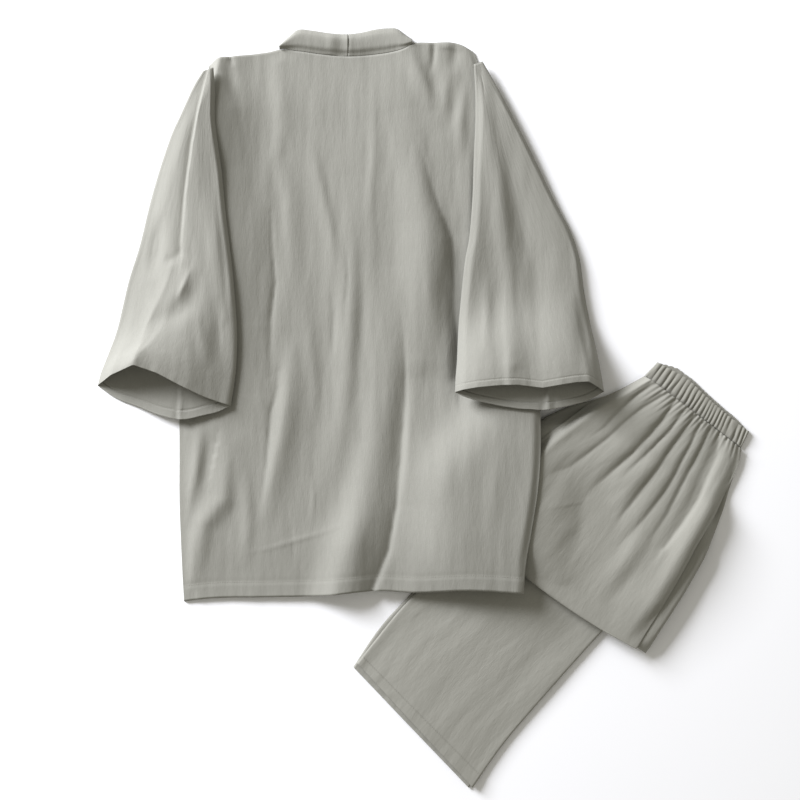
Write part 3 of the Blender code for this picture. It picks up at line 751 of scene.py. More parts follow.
@dataclass(frozen=True)
class Stitching:
    """Rows of stitches along paths on the cloth, with the sizes of one stitch and their pitch in millimetres."""

    name: str
    pitch: float = 3.2
    length: float = 2.3
    width: float = 0.55

    def sizes(self) -> dict[str, float]:
        """Return the tree's named inputs, in metres."""
        return {"Pitch": self.pitch * MM, "Length": self.length * MM, "Width": self.width * MM}

    def tree(self) -> bpy.types.NodeTree:
        """Return the tree that sets a stitch at each step along a curve."""
        tree = bpy.data.node_groups.new(self.name + "_tree", "GeometryNodeTree")
        face = tree.interface
        face.new_socket("Geometry", in_out="INPUT", socket_type="NodeSocketGeometry")
        for label, value in self.sizes().items():
            face.new_socket(label, in_out="INPUT", socket_type="NodeSocketFloat").default_value = value
        face.new_socket("Geometry", in_out="OUTPUT", socket_type="NodeSocketGeometry")
        kinds = {
            "source": "NodeGroupInput",
            "target": "NodeGroupOutput",
            "steps": "GeometryNodeCurveToPoints",
            "stitch": "GeometryNodeMeshUVSphere",
            "size": "ShaderNodeCombineXYZ",
            "place": "GeometryNodeInstanceOnPoints",
            "real": "GeometryNodeRealizeInstances",
            "dressed": "GeometryNodeSetMaterial",
        }
        node = {key: tree.nodes.new(kind) for key, kind in kinds.items()}
        node["steps"].mode = "LENGTH"
        for label, value in (("Segments", 6), ("Rings", 4), ("Radius", 0.5)):
            node["stitch"].inputs[label].default_value = value
        node["dressed"].inputs["Material"].default_value = ThreadFinish().material()
        links = (
            ("source", "Geometry", "steps", "Curve"),
            ("source", "Pitch", "steps", "Length"),
            ("source", "Width", "size", "X"),
            ("source", "Width", "size", "Y"),
            ("source", "Length", "size", "Z"),
            ("steps", "Points", "place", "Points"),
            ("stitch", "Mesh", "place", "Instance"),
            ("steps", "Rotation", "place", "Rotation"),
            ("size", "Vector", "place", "Scale"),
            ("place", "Instances", "real", "Geometry"),
            ("real", "Geometry", "dressed", "Geometry"),
            ("dressed", "Geometry", "target", "Geometry"),
        )
        for start, output, end, socket in links:
            tree.links.new(node[start].outputs[output], node[end].inputs[socket])
        return tree

    def sew(self, paths: Sequence[Array]) -> bpy.types.Object:
        """Sew the stitches along paths on the cloth.

        Args:
            paths: Rows of points in millimetres, one row for each run of stitches.

        Returns:
            One plain mesh of stitches.
        """
        line = bpy.data.curves.new(self.name + "_line", "CURVE")
        line.dimensions = "3D"
        for path in paths:
            spline = line.splines.new("POLY")
            spline.points.add(len(path) - 1)
            flat = np.concatenate([path * MM, np.ones((len(path), 1))], axis=1)
            spline.points.foreach_set("co", flat.astype(np.float32).ravel())
        guide = new_object(self.name + "_guide", line)
        modifier = guide.modifiers.new("stitches", "NODES")
        modifier.node_group = self.tree()
        sizes = self.sizes()
        for item in modifier.node_group.interface.items_tree:
            if item.item_type == "SOCKET" and item.in_out == "INPUT" and item.name in sizes:
                modifier[item.identifier] = sizes[item.name]
        graph = bpy.context.evaluated_depsgraph_get()
        mesh = bpy.data.meshes.new_from_object(guide.evaluated_get(graph))
        guide.modifiers.remove(modifier)
        bpy.data.objects.remove(guide, do_unlink=True)
        mesh.name = self.name
        mesh.polygons.foreach_set("use_smooth", np.ones(len(mesh.polygons), bool))
        made = new_object(self.name, mesh)
        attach(made, "root")
        LOG.info("sewed %s: %d faces", self.name, len(mesh.polygons))
        return made


@dataclass(frozen=True)
class Hem:
    """A turned hem: its depth, how far it stands up, the groove beside its stitches, and its puckers."""

    depth: float
    rise: float
    groove: float
    groove_width: float = 1.8
    puckers: Crinkle | None = None
    pucker_reach: float = 30.0

    def height(self, from_hem: Array) -> Array:
        """Return what the turning and its groove add at a distance from the edge."""
        step = self.rise * ease((self.depth + 1.0 - from_hem) / 2.0)
        return step - self.groove * np.exp(-(((from_hem - self.depth - 1.5) / self.groove_width) ** 2))

    def puckered(self, across: Array, from_hem: Array) -> Array:
        """Return what the puckers add at a place along the hem and a distance from the edge."""
        return self.puckers.at(across, from_hem) * ease(1 - from_hem / self.pucker_reach)


@dataclass
class Garment:
    """What every piece of cloth shares: how it is dressed."""

    slot: str
    finish: ClothFinish

    def dress(
        self,
        made: bpy.types.Object,
        node: str,
        flat: tuple[float, float],
        held: Held,
        rests_on: Sequence[str],
        area: float | None = None,
    ) -> None:
        """Give a piece its cloth, hang it on the root, and hide the solid that it stands for.

        Args:
            made: The piece.
            node: The solid that it stands for.
            flat: Width and length of its cut, in metres. Not used.
            held: How the sheet is held. Not used.
            rests_on: Names of what it rests on. Not used.
            area: The cut's area where it isn't a rectangle. Not used.
        """
        made.data.materials.append(self.finish.material())
        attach(made, "root")
        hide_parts(node)
        LOG.info("laid %s: %d faces", made.name, len(made.data.polygons))


def shell_area(made: bpy.types.Object) -> float:
    """Return half the area of a closed shell, which is the area of its cloth.

    Args:
        made: The shell.

    Returns:
        The area in square metres.
    """
    areas = np.zeros(len(made.data.polygons))
    made.data.polygons.foreach_get("area", areas)
    return float(areas.sum() / 2)


def cut_area(made: bpy.types.Object, flat: tuple[float, float]) -> float:
    """Return the area of a piece's cloth, which is never less than the least share of its cut."""
    return max(shell_area(made), LEAST_SHARE * flat[0] * flat[1])


def edge_steps(width: float, count: int, round_mm: float) -> Array:
    """Return shares across a width, closer together at both edges.

    Args:
        width: The width in millimetres.
        count: Points across the flat middle.
        round_mm: How far in from each edge the points stand closer.

    Returns:
        The shares, rising from nought to one.
    """
    near = np.array(ROUND_SHARES) * round_mm / width
    middle = np.linspace(near[-1], 1 - near[-1], count)[1:-1]
    return np.concatenate([near, middle, 1 - near[::-1]])


def rolled(length: float, count: int, start_rolls: bool = True) -> tuple[Array, Array]:
    """Space points along a way whose end rolls down.

    Args:
        length: The way's length in millimetres.
        count: Points along its flat middle.
        start_rolls: Whether its start rolls down too.

    Returns:
        The points' shares along, and how far each has dropped, from nought to one.
    """
    insets = np.array(ROLL_INSETS) / length
    drops = np.array(ROLL_DROPS)
    low = insets if start_rolls else np.zeros(1)
    middle = np.linspace(low[-1], 1 - insets[-1], count)[1:-1]
    share = np.concatenate([low, middle, 1 - insets[::-1]])
    drop = np.concatenate([drops if start_rolls else np.zeros(1), np.zeros(len(middle)), drops[::-1]])
    return share, drop


@dataclass
class FlatTube(Garment):
    """A flattened tube of cloth: a sleeve, the waist's casing, or the stretch of a leg down to its hem."""

    wall: float = WALL
    round_mm: float = 3.0
    rim: float = 0.35
    rim_in: float = 2.2
    rim_width: float = 1.4
    thread_lift: float = THREAD_LIFT

    @property
    def width(self) -> float:
        """Return the flattened width in millimetres."""
        raise NotImplementedError

    @property
    def length(self) -> float:
        """Return the length in millimetres."""
        raise NotImplementedError

    def place(self, wall: Wall, u: Array, s: Array) -> tuple[Array, Array]:
        """Return the point of a wall at a share across and a share along."""
        raise NotImplementedError

    def base(self, ground: Ground, x: Array, y: Array) -> Array:
        """Return the height at which the lower wall lies."""
        raise NotImplementedError

    def clear(self, u: Array, s: Array) -> Array:
        """Return the room between the two walls."""
        raise NotImplementedError

    def upper_relief(self, u: Array, s: Array) -> Array:
        """Return what stands up from the upper wall."""
        raise NotImplementedError

    def inside_relief(self, u: Array, s: Array) -> Array:
        """Return what stands up from the lower wall's inside, which is nothing where it doesn't show."""
        return np.zeros(u.shape)

    def loops(self, ground: Ground, u: Array, stations: Array) -> tuple[Array, Array]:
        """Work out the tube's loops of points.

        Args:
            ground: What has been laid so far.
            u: Shares across, from edge to edge.
            stations: Shares along.

        Returns:
            The outer loops and the inner loops.
        """
        su, ss = np.meshgrid(u, stations)
        low_x, low_y = self.place(Wall.LOWER, su, ss)
        up_x, up_y = self.place(Wall.UPPER, su, ss)
        floor = self.base(ground, low_x, low_y)
        above = np.maximum(self.base(ground, up_x, up_y), floor)
        clear = self.clear(su, ss)
        width = np.hypot(low_x[:, -1:] - low_x[:, :1], low_y[:, -1:] - low_y[:, :1])
        from_edge = np.minimum(su, 1 - su) * width
        edge = np.sqrt(np.clip(1 - (1 - np.clip(from_edge / self.round_mm, 0, 1)) ** 2, 0, 1))
        middle = floor + self.wall + clear / 2
        top = above + 2 * self.wall + clear
        extra = self.upper_relief(su, ss) * edge
        extra = extra + self.rim * np.exp(-(((from_edge - self.rim_in) / self.rim_width) ** 2))
        low_z = middle - edge * (middle - floor)
        up_z = middle + edge * (top - middle) + extra
        shrink = np.clip(self.wall / np.maximum(width, 4 * self.wall), 0, 0.24)
        shrunk = shrink + (1 - 2 * shrink) * su
        in_low_z = middle - edge * (middle - floor - self.wall) + self.inside_relief(su, ss) * edge
        in_up_z = middle + edge * (top - self.wall - middle) + extra
        in_up_z = np.maximum(in_up_z, in_low_z + 0.1 * edge)
        in_low = (*self.place(Wall.LOWER, shrunk, ss), in_low_z)
        in_up = (*self.place(Wall.UPPER, shrunk, ss), in_up_z)
        return self.join((low_x, low_y, low_z), (up_x, up_y, up_z)), self.join(in_low, in_up)

    @staticmethod
    def join(lower: Sequence[Array], upper: Sequence[Array]) -> Array:
        """Return loops that run along the lower wall and back along the upper."""
        return np.concatenate([np.stack(lower, axis=-1), np.stack(upper, axis=-1)[:, -2:0:-1]], axis=1)

    def lay(
        self, name: str, ground: Ground, u: Array, stations: Array, open_start: bool = False
    ) -> tuple[bpy.types.Object, Array, Array]:
        """Lay the tube on what is there.

        Args:
            name: The piece's name.
            ground: What has been laid so far.
            u: Shares across, from edge to edge.
            stations: Shares along.
            open_start: Whether the tube is open at its start too.

        Returns:
            The new object, its outer loops and its inner loops.
        """
        outer, inner = self.loops(ground, u, stations)
        across = np.concatenate([u, 2 - u[-2:0:-1]]) * self.width * MM
        grain = np.stack(np.meshgrid(across, stations * self.length * MM), axis=-1)
        made = Mesher.tube(name, outer, inner, grain, open_start)
        ground.add(outer)
        return made, outer, inner

    def nearest(self, stations: Array, depth: float) -> int:
        """Return the number of the station that lies nearest to a depth from the hem."""
        return int(np.argmin(np.abs((1 - stations) * self.length - depth)))


# The crinkles of all the cloth, from fine to broad.
FINE = (
    Crinkle(9.0, 48.0, 0.3, 3),
    Crinkle(17.0, 95.0, 0.5, 5),
    Crinkle(31.0, 150.0, 0.7, 6),
    Crinkle(52.0, 210.0, 0.8, 8),
)


@dataclass
class LegEnd(FlatTube):
    """The stretch of one leg from the fold down to its hem, a flattened tube open at the hem."""

    node: str = ""
    table: Sequence[Leg] = ()
    seed: int = 0
    puff: float = 1.2
    mouth_from: float = 0.96
    mouth_rise: float = 0.5
    crinkle_share: float = 0.8
    deepest: float = -0.35
    hem_depth: float = 16.0
    rests_on: Sequence[str] = ()

    @property
    def width(self) -> float:
        """Return the hem's width."""
        end = self.table[0]
        return math.hypot(end.right_x - end.left_x, end.right_y - end.left_y)

    @property
    def length(self) -> float:
        """Return the length of the left edge."""
        end, start = self.table[0], self.table[-1]
        return math.hypot(end.left_x - start.left_x, end.left_y - start.left_y)

    def place(self, wall: Wall, u: Array, s: Array) -> tuple[Array, Array]:
        """Return the point at a share across and a share along, the same for both walls."""
        return leg_place(tuple(reversed(self.table)), u, s)

    def base(self, ground: Ground, x: Array, y: Array) -> Array:
        """Return the height at which the lower wall lies."""
        return over(ground.under(x, y, 1, 1), SEAM_GAP)

    def clear(self, u: Array, s: Array) -> Array:
        """Return the room between the walls, a little more in the middle and at the hem."""
        opened = ease((s - self.mouth_from) / (1 - self.mouth_from))
        return SLIT + self.puff * np.sin(np.pi * u) ** 2 + self.mouth_rise * opened

    def upper_relief(self, u: Array, s: Array) -> Array:
        """Return the crinkles and the hem of the upper wall.

        Args:
            u: Share across.
            s: Share along.

        Returns:
            The height at each point.
        """
        hem = Hem(self.hem_depth, 0.55, 0.5, 1.6, Crinkle(7.0, 30.0, 0.25, 60 + self.seed))
        from_hem = (1 - s) * self.length
        crinkles = crinkled(u * self.width + 40 * self.seed, s * self.length, FINE) * self.crinkle_share
        return np.maximum(crinkles, self.deepest) + hem.height(from_hem) + hem.puckered(u * self.width, from_hem)

    def build(self, ground: Ground) -> bpy.types.Object:
        """Lay the stretch on what is there, and sew its hem.

        Args:
            ground: What has been laid so far.

        Returns:
            The stretch.
        """
        u = edge_steps(self.width, 64, self.round_mm)
        stations = np.concatenate([np.linspace(0, 0.9, 84), np.linspace(0.9, 1.0, 28)[1:]])
        made, outer, _ = self.lay(self.node + "_cloth", ground, u, stations)
        self.dress(made, self.node, (2 * self.width * MM, self.length * MM), Held.FOLDED, self.rests_on)
        seam = outer[self.nearest(stations, self.hem_depth), len(u) :][3:-3] + (0, 0, self.thread_lift)
        Stitching(self.node + "_stitches").sew([seam])
        return made


@dataclass
class Stack(Garment):
    """Hidden layers of the folded trousers, one rounded solid with layered edges."""

    node: str = ""
    table: Sequence[Leg] = ()
    thick: float = 4.2
    layers: int = 2
    tuck: float = 1.6
    reach: int = 5
    columns: int = 84
    rows: int = 110
    rests_on: Sequence[str] = ()

    def build(self, ground: Ground) -> bpy.types.Object:
        """Lay the layers on what is there.

        Args:
            ground: What has been laid so far.

        Returns:
            The stack.
        """
        first, last = self.table[0], self.table[-1]
        width = math.hypot(last.right_x - last.left_x, last.right_y - last.left_y)
        length = math.hypot(
            (first.left_x + first.right_x - last.left_x - last.right_x) / 2,
            (first.left_y + first.right_y - last.left_y - last.right_y) / 2,
        )
        u, t = np.meshgrid(np.linspace(0, 1, self.columns), np.linspace(0, 1, self.rows))
        rim = Mesher.rim(self.rows, self.columns)
        steps = 4 * self.layers
        points = []
        grains = []
        for number in range(steps + 1):
            level = number / steps
            tuck = self.tuck * abs(math.cos(math.pi * self.layers * level)) ** 2
            tucked_u = tuck / width + (1 - 2 * tuck / width) * u
            tucked_t = tuck / length + (1 - 2 * tuck / length) * t
            x, y = leg_place(self.table, tucked_u, tucked_t)
            z = over(ground.under(x, y, self.reach, 2), SEAM_GAP) + level * self.thick
            if number == steps:
                z = z + 0.5 * np.clip(crinkled(u * width, t * length, FINE), -0.4, 1)
            net = np.stack([x, y, z], axis=-1).reshape(-1, 3)
            grain = np.stack([u * width, t * length], axis=-1).reshape(-1, 2) * MM
            kept = slice(None) if number in (0, steps) else rim
            points.append(net[kept])
            grains.append(grain[kept])
        starts = np.cumsum([0] + [len(p) for p in points])
        top = starts[-2]
        quads = [Mesher.net(self.rows, self.columns, 0, True), Mesher.net(self.rows, self.columns, top, False)]
        loops = [rim] + [np.arange(starts[k], starts[k + 1]) for k in range(1, steps)] + [top + rim]
        quads += [Mesher.between(low, high) for low, high in zip(loops, loops[1:])]
        name = self.node + "_cloth"
        made = Mesher.make(name, np.concatenate(points), np.concatenate(quads), np.concatenate(grains))
        ground.add(points[-1])
        self.dress(made, self.node, (width * MM, length * MM), Held.FOLDED, self.rests_on)
        return made


@dataclass
class NearLeg(Garment):
    """The upper wall of the near leg, gathered at the waist and rolled round the stack at its folded edges."""

    table: Sequence[Leg] = ()
    folds: Sequence[Fold] = ()
    width: float = 250.0
    length: float = 320.0
    puff: float = 12.0
    low_puff: float = 10.0
    firm: tuple[float, float, float] = (16, 13, 6)
    sinks: float = 0.55
    gather_count: int = 26
    gather_rise: float = 2.2
    gather_reach: float = 0.16
    seam_width: float = 160.0
    cut: tuple[float, float] = (0.28, 0.36)
    columns: int = 112
    rows: int = 150

    def puffed(self, u: Array, t: Array) -> Array:
        """Return how far the leg stands up, which is less towards its right edge and at its sides and fold.

        Args:
            u: Share across.
            t: Share along, from the waist.

        Returns:
            The height at each point.
        """
        height = self.low_puff + (self.puff - self.low_puff) * (1 - ease(t / 0.75))
        left, right, fold = self.firm
        across = ease(u * left) * (1 - self.sinks * ease((u - 0.4) / 0.45)) * ease((1 - u) * right)
        return height * across * ease((1 - t) * fold)

    def gathered(self, u: Array, t: Array) -> Array:
        """Return the pleats of the waist, which fade down the leg.

        Args:
            u: Share across.
            t: Share along, from the waist.

        Returns:
            The height at each point.
        """
        along = u * self.seam_width
        phase = u * self.gather_count + 0.35 * ripple(along, t * 0, 16.0, 1.0, 21)
        pillow = np.abs(np.sin(np.pi * phase)) ** 0.8
        uneven = 0.7 + 0.3 * ripple(along, t * 0, 9.0, 1.0, 4)
        return self.gather_rise * pillow * (1 - ease(t / self.gather_reach)) * uneven

    def build(self, ground: Ground) -> bpy.types.Object:
        """Lay the leg on the stack.

        Args:
            ground: What has been laid so far.

        Returns:
            The leg.
        """
        side, side_drop = rolled(self.width, self.columns)
        end, end_drop = rolled(self.length, self.rows, start_rolls=False)
        u, t = np.meshgrid(side, end)
        x, y = leg_place(self.table, u, t)
        drop = 1 - (1 - side_drop[None, :]) * (1 - end_drop[:, None])
        crinkles = crinkled(u * self.width, t * self.length, FINE)
        raised = self.puffed(u, t) + (relief(x, y, self.folds) + crinkles) * (1 - drop)
        stand = 0.5 * (raised + np.sqrt(raised**2 + 1.2)) - 0.5 + self.gathered(u, t)
        surface = np.stack([x, y, ground.carry(x, y, stand, drop, 2)], axis=-1)
        grain = np.stack([u * self.width, t * self.length], axis=-1) * MM
        made = Mesher.sheet("trouser_leg_near_cloth", surface, WALL, grain)
        ground.add(surface)
        below = ["trouser_leg_far", "waistband"]
        self.dress(made, "trouser_leg_near", self.cut, Held.GATHERED, below, area=shell_area(made))
        return made


@dataclass
class Waistband(FlatTube):
    """The gathered casing of the waist, folded in half into a flat hoop."""

    wall: float = 1.7
    thread_lift: float = 0.1
    seam: tuple[float, float, float, float] = (296.4, 43.6, 425.4, -53.4)
    top: tuple[float, float, float, float] = (315, 63, 437, -31)
    room: float = 2.4
    bulge_at: Sequence[float] = (0, 0.12, 0.3, 0.5, 0.7, 1)
    bulge: Sequence[float] = (-2, 1, 5, 2, 0, -1)
    gathers: int = 24
    gather_rise: float = 3.0
    gather_dip: float = 0.9
    rear_shows: float = 2.6
    rear_scallops: int = 21
    scallop_rise: float = 1.1
    peak_rise: float = 2.0
    peak_at: float = 0.17
    peak_width: float = 0.09

    @property
    def width(self) -> float:
        """Return the length of the seam."""
        return math.hypot(self.seam[2] - self.seam[0], self.seam[3] - self.seam[1])

    @property
    def length(self) -> float:
        """Return the casing's height."""
        return 27.0

    def pillows(self, u: Array) -> Array:
        """Return how deep the casing dips between its gathers."""
        phase = u * self.gathers + 0.9 * ripple(u * self.width, u * 0, 19.0, 1.0, 21)
        return 1 - np.abs(np.sin(np.pi * phase)) ** 0.7

    def place(self, wall: Wall, u: Array, s: Array) -> tuple[Array, Array]:
        """Return the point of a wall, of which the rear one shows in scallops above the front one.

        Args:
            wall: Which wall it is.
            u: Share across.
            s: Share from the seam to the top edge.

        Returns:
            The point's x and y.
        """
        ax, ay, bx, by = (low + (high - low) * s for low, high in zip(self.seam, self.top))
        out = curve(self.bulge_at, self.bulge, u) * s
        if wall is Wall.LOWER:
            near_top = ease((s - 0.6) / 0.4)
            scallop = self.scallop_rise * np.abs(np.sin(np.pi * self.rear_scallops * u)) ** 0.7
            out = out + (self.rear_shows + scallop) * near_top * ease(u * 9) * ease((1 - u) * 5)
            out = out + self.peak_rise * near_top * ease(1 - np.abs(u - self.peak_at) / self.peak_width)
        out = out - self.gather_dip * s * self.pillows(u)
        long = np.hypot(bx - ax, by - ay)
        return ax + (bx - ax) * u - out * (by - ay) / long, ay + (by - ay) * u + out * (bx - ax) / long

    def base(self, ground: Ground, x: Array, y: Array) -> Array:
        """Return the floor's height, on which the casing lies."""
        return np.zeros(x.shape)

    def clear(self, u: Array, s: Array) -> Array:
        """Return the room between the walls, more in the middle."""
        return self.room * (0.4 + 0.6 * np.sin(np.pi * u)) + 0 * s

    def upper_relief(self, u: Array, s: Array) -> Array:
        """Return the gathers of the upper wall, which slant and are uneven.

        Args:
            u: Share across.
            s: Share along.

        Returns:
            The height at each point.
        """
        along = u * self.width
        puff = np.sin(np.pi * np.clip(s, 0, 1)) ** 0.6
        slant = u + 0.016 * (s - 0.5) + 0.006 * ripple(along, s * self.length, 14.0, 16.0, 12)
        uneven = 0.7 + 0.5 * ripple(along, s * self.length, 9.0, 18.0, 9)
        return (0.6 + self.gather_rise * (0.35 - self.pillows(slant)) * uneven) * (0.35 + 0.65 * puff)

    def build(self, ground: Ground) -> bpy.types.Object:
        """Lay the waistband above the legs.

        Args:
            ground: What has been laid so far.

        Returns:
            The waistband.
        """
        u = edge_steps(self.width, 250, self.round_mm)
        stations = np.array([0, 0.03, 0.09, 0.16, 0.24, 0.36, 0.48, 0.6, 0.72, 0.82, 0.9, 0.96, 1.0])
        made, outer, _ = self.lay("waistband_cloth", ground, u, stations, open_start=True)
        self.dress(made, "waistband", (0.42, 0.028), Held.GATHERED, ["trouser_leg_near"])
        seam = outer[1, len(u) :][4:-4] + (0, 0, self.thread_lift)
        Stitching("waistband_stitches", pitch=3.0, length=2.0, width=0.45).sew([seam])
        return made


@dataclass
class Front(Garment):
    """One wrap front and the stretch of the neckband along its edge, hidden under the back."""

    hand: Hand = Hand.LEFT
    edges: Sequence[float] = ()
    wall: float = 1.1
    width: float = 280.0
    band_width: float = 30.0
    length: float = 730.0
    cut: tuple[float, float] = (0.36, 0.76)
    band_cut: tuple[float, float] = (0.035, 0.76)
    up: Sequence[float] = (0.0, 0.20, 0.45, 0.70, 0.90, 1.0)
    columns: int = 84
    band_columns: int = 11
    rows: int = 200

    def build(self, ground: Ground) -> None:
        """Lay the front and its band side by side.

        Args:
            ground: What has been laid so far.
        """
        left = self.hand is Hand.LEFT
        below = ["jacket_front_right"] if left else ["trouser_leg_near"]
        laid = []
        for stem, columns, width, flat in (
            ("jacket_front_", self.columns, self.width, self.cut),
            ("front_band_", self.band_columns, self.band_width, self.band_cut),
        ):
            share, t = np.meshgrid(np.linspace(0, 1, columns), np.linspace(0, 1, self.rows))
            edge = curve(self.up, self.edges, t)
            if stem == "front_band_":
                x, y = body_place(edge, t)
                x = x + (SEAM_GAP + share * width if left else -SEAM_GAP - (1 - share) * width)
            else:
                x, y = body_place(share * edge if left else edge + share * (1 - edge), t)
            z = over(ground.under(x, y, 1, 3), LAY_GAP) + self.wall
            surface = np.stack([x, y, z], axis=-1)
            grain = np.stack([share * width, t * self.length], axis=-1) * MM
            made = Mesher.sheet(stem + self.hand.value + "_cloth", surface, self.wall, grain)
            laid.append((made, surface, stem + self.hand.value, flat))
        for made, surface, node, flat in laid:
            ground.add(surface)
            self.dress(made, node, flat, Held.LAID, below, area=cut_area(made, flat))


@dataclass
class Back(Garment):
    """The jacket's back panel, with its folds, its hem and its side seams."""

    folds: Sequence[Fold] = ()
    width: float = 480.0
    length: float = 727.0
    puff: float = 4.5
    soft: float = 34.0
    right_firm: float = 3.0
    end_firm: float = 9.0
    end_share: float = 0.35
    crinkle_soft: float = 20.0
    cut: tuple[float, float] = (0.50, 0.76)
    most_area: float = 0.379
    hem: Hem = Hem(20.0, 0.5, 0.45, puckers=Crinkle(6.0, 40.0, 0.3, 77), pucker_reach=34.0)
    columns: int = 168
    rows: int = 250

    def raised(self, x: Array, y: Array, t: Array, from_side: Array) -> Array:
        """Return how far the back stands up from what it lies on.

        Args:
            x: Place of each point.
            y: Place of each point.
            t: Share up of each point.
            from_side: Distance from the nearer side seam.

        Returns:
            The height at each point.
        """
        from_hem = t * self.length
        ends = ease(t * self.end_firm) * ease((1 - t) * self.end_firm)
        puff = self.puff * ease(from_side / self.soft) * (self.end_share + (1 - self.end_share) * ends)
        crinkles = crinkled(x, y, FINE) * (0.5 + 0.5 * ease(from_side / self.crinkle_soft))
        stand = np.maximum(puff + relief(x, y, self.folds) * ease(from_side / self.soft * 2) + crinkles, 0.0)
        return np.maximum(stand + self.hem.height(from_hem) + self.hem.puckered(x, from_hem), 0.0)

    def build(self, ground: Ground) -> tuple[Array, Array]:
        """Lay the back.

        Args:
            ground: What has been laid so far.

        Returns:
            The shares across and the points of its top edge.
        """
        side, side_drop = rolled(self.width, self.columns)
        u, t = np.meshgrid(side, np.linspace(0.0, 1.0, self.rows))
        x, y = body_place(u, t)
        left, _ = body_place(np.zeros(u.shape), t)
        right, _ = body_place(np.ones(u.shape), t)
        stand = self.raised(x, y, t, np.minimum(x - left, (right - x) * self.right_firm))
        surface = np.stack([x, y, ground.carry(x, y, stand, side_drop[None, :], 7)], axis=-1)
        made = Mesher.sheet("jacket_back_cloth", surface, WALL, np.stack([x, y], axis=-1) * MM)
        ground.add(surface)
        below = ["jacket_front_left", "jacket_front_right"]
        self.dress(made, "jacket_back", self.cut, Held.LAID, below, area=min(shell_area(made), self.most_area))
        row = int(round(self.hem.depth / self.length * (self.rows - 1)))
        seam = surface[row, 6:-6] + (0, 0, THREAD_LIFT)
        Stitching("jacket_back_stitches").sew([seam])
        return u[-1], surface[-1]


class Pleat(NamedTuple):
    """A small wave across the neckband: its place, how far it stands up, and its width."""

    at: float
    rise: float
    width: float


@dataclass
class Neckband(Garment):
    """One half of the neckband that lies flat above the neck seam, joined to the other at the centre back."""

    hand: Hand = Hand.LEFT
    wall: float = 2.6
    puff: float = 0.8
    lift: float = 6.0
    pleats: Sequence[Pleat] = (Pleat(-124, 1.3, 7), Pleat(-110, -1.2, 7), Pleat(-98, 1.0, 5))
    edge_x: Sequence[float] = (-195, -181, -170, -151, -131, -103, -84, -66, -48, -35, -24, -12)
    edge_y: Sequence[float] = (484, 497, 506, 506, 503, 501, 503, 507, 509, 508, 500, 492)
    seam_lines: Sequence[tuple[float, float]] = ((0.14, 0.5), (0.86, 0.35))
    cut: tuple[float, float] = (0.095, 0.034)
    columns: int = 60

    def build(self, across: Array, top_edge: Array, ground: Ground) -> bpy.types.Object:
        """Lay the half from the points of the back's top edge.

        Args:
            across: Shares across of the back's top edge.
            top_edge: Its points.
            ground: What has been laid so far.

        Returns:
            The half of the band.
        """
        left = self.hand is Hand.LEFT
        span = (NECK_LEFT, NECK_BACK) if left else (NECK_BACK, NECK_RIGHT)
        x, seam, seam_z = (np.interp(np.linspace(*span, self.columns), across, top_edge[:, k]) for k in range(3))
        seam = seam + SEAM_GAP
        if left:
            x[-1] -= SEAM_GAP / 2
        else:
            x[0] += SEAM_GAP / 2
        height = np.maximum(curve(self.edge_x, self.edge_y, x) - seam, 2.0)
        share = np.concatenate([[0, 0.02, 0.05], np.linspace(0.1, 0.9, 18), [0.95, 0.985, 1.0]])[:, None]
        gx = np.repeat(x[None, :], len(share), axis=0)
        gy = seam[None, :] + share * height[None, :]
        puff = self.puff * np.sin(np.pi * share) ** 0.6 + self.lift * share * (1 - share**6)
        wave = crinkled(gx + 500, gy, FINE) * 0.6 * np.sin(np.pi * share)
        line = -sum(deep * np.exp(-(((share - at) * height / 1.4) ** 2)) for at, deep in self.seam_lines)
        join = sum(pleat.rise * np.exp(-(((gx - pleat.at) / pleat.width) ** 2)) for pleat in self.pleats)
        tuck = self.wall * ease(1 - share * 3)
        z = seam_z[None, :] * (1 - share) - tuck + puff + wave + line + join * np.sin(np.pi * share) ** 0.3
        surface = np.stack([gx, gy, np.maximum(z, 0.0) + self.wall], axis=-1)
        node = "collar_" + self.hand.value
        made = Mesher.sheet(node + "_cloth", surface, self.wall, np.stack([gx, gy], axis=-1) * MM)
        ground.add(surface)
        self.dress(made, node, self.cut, Held.FOLDED, ["jacket_back"])
        return made


class Section(NamedTuple):
    """A section across a sleeve: its outer edge and its inner edge."""

    outer_x: float
    outer_y: float
    inner_x: float
    inner_y: float


class Mouth(NamedTuple):
    """A place along the open cuff: its share across, how far the walls draw back and forward, and the rise."""

    across: float
    back: float
    forward: float
    rise: float


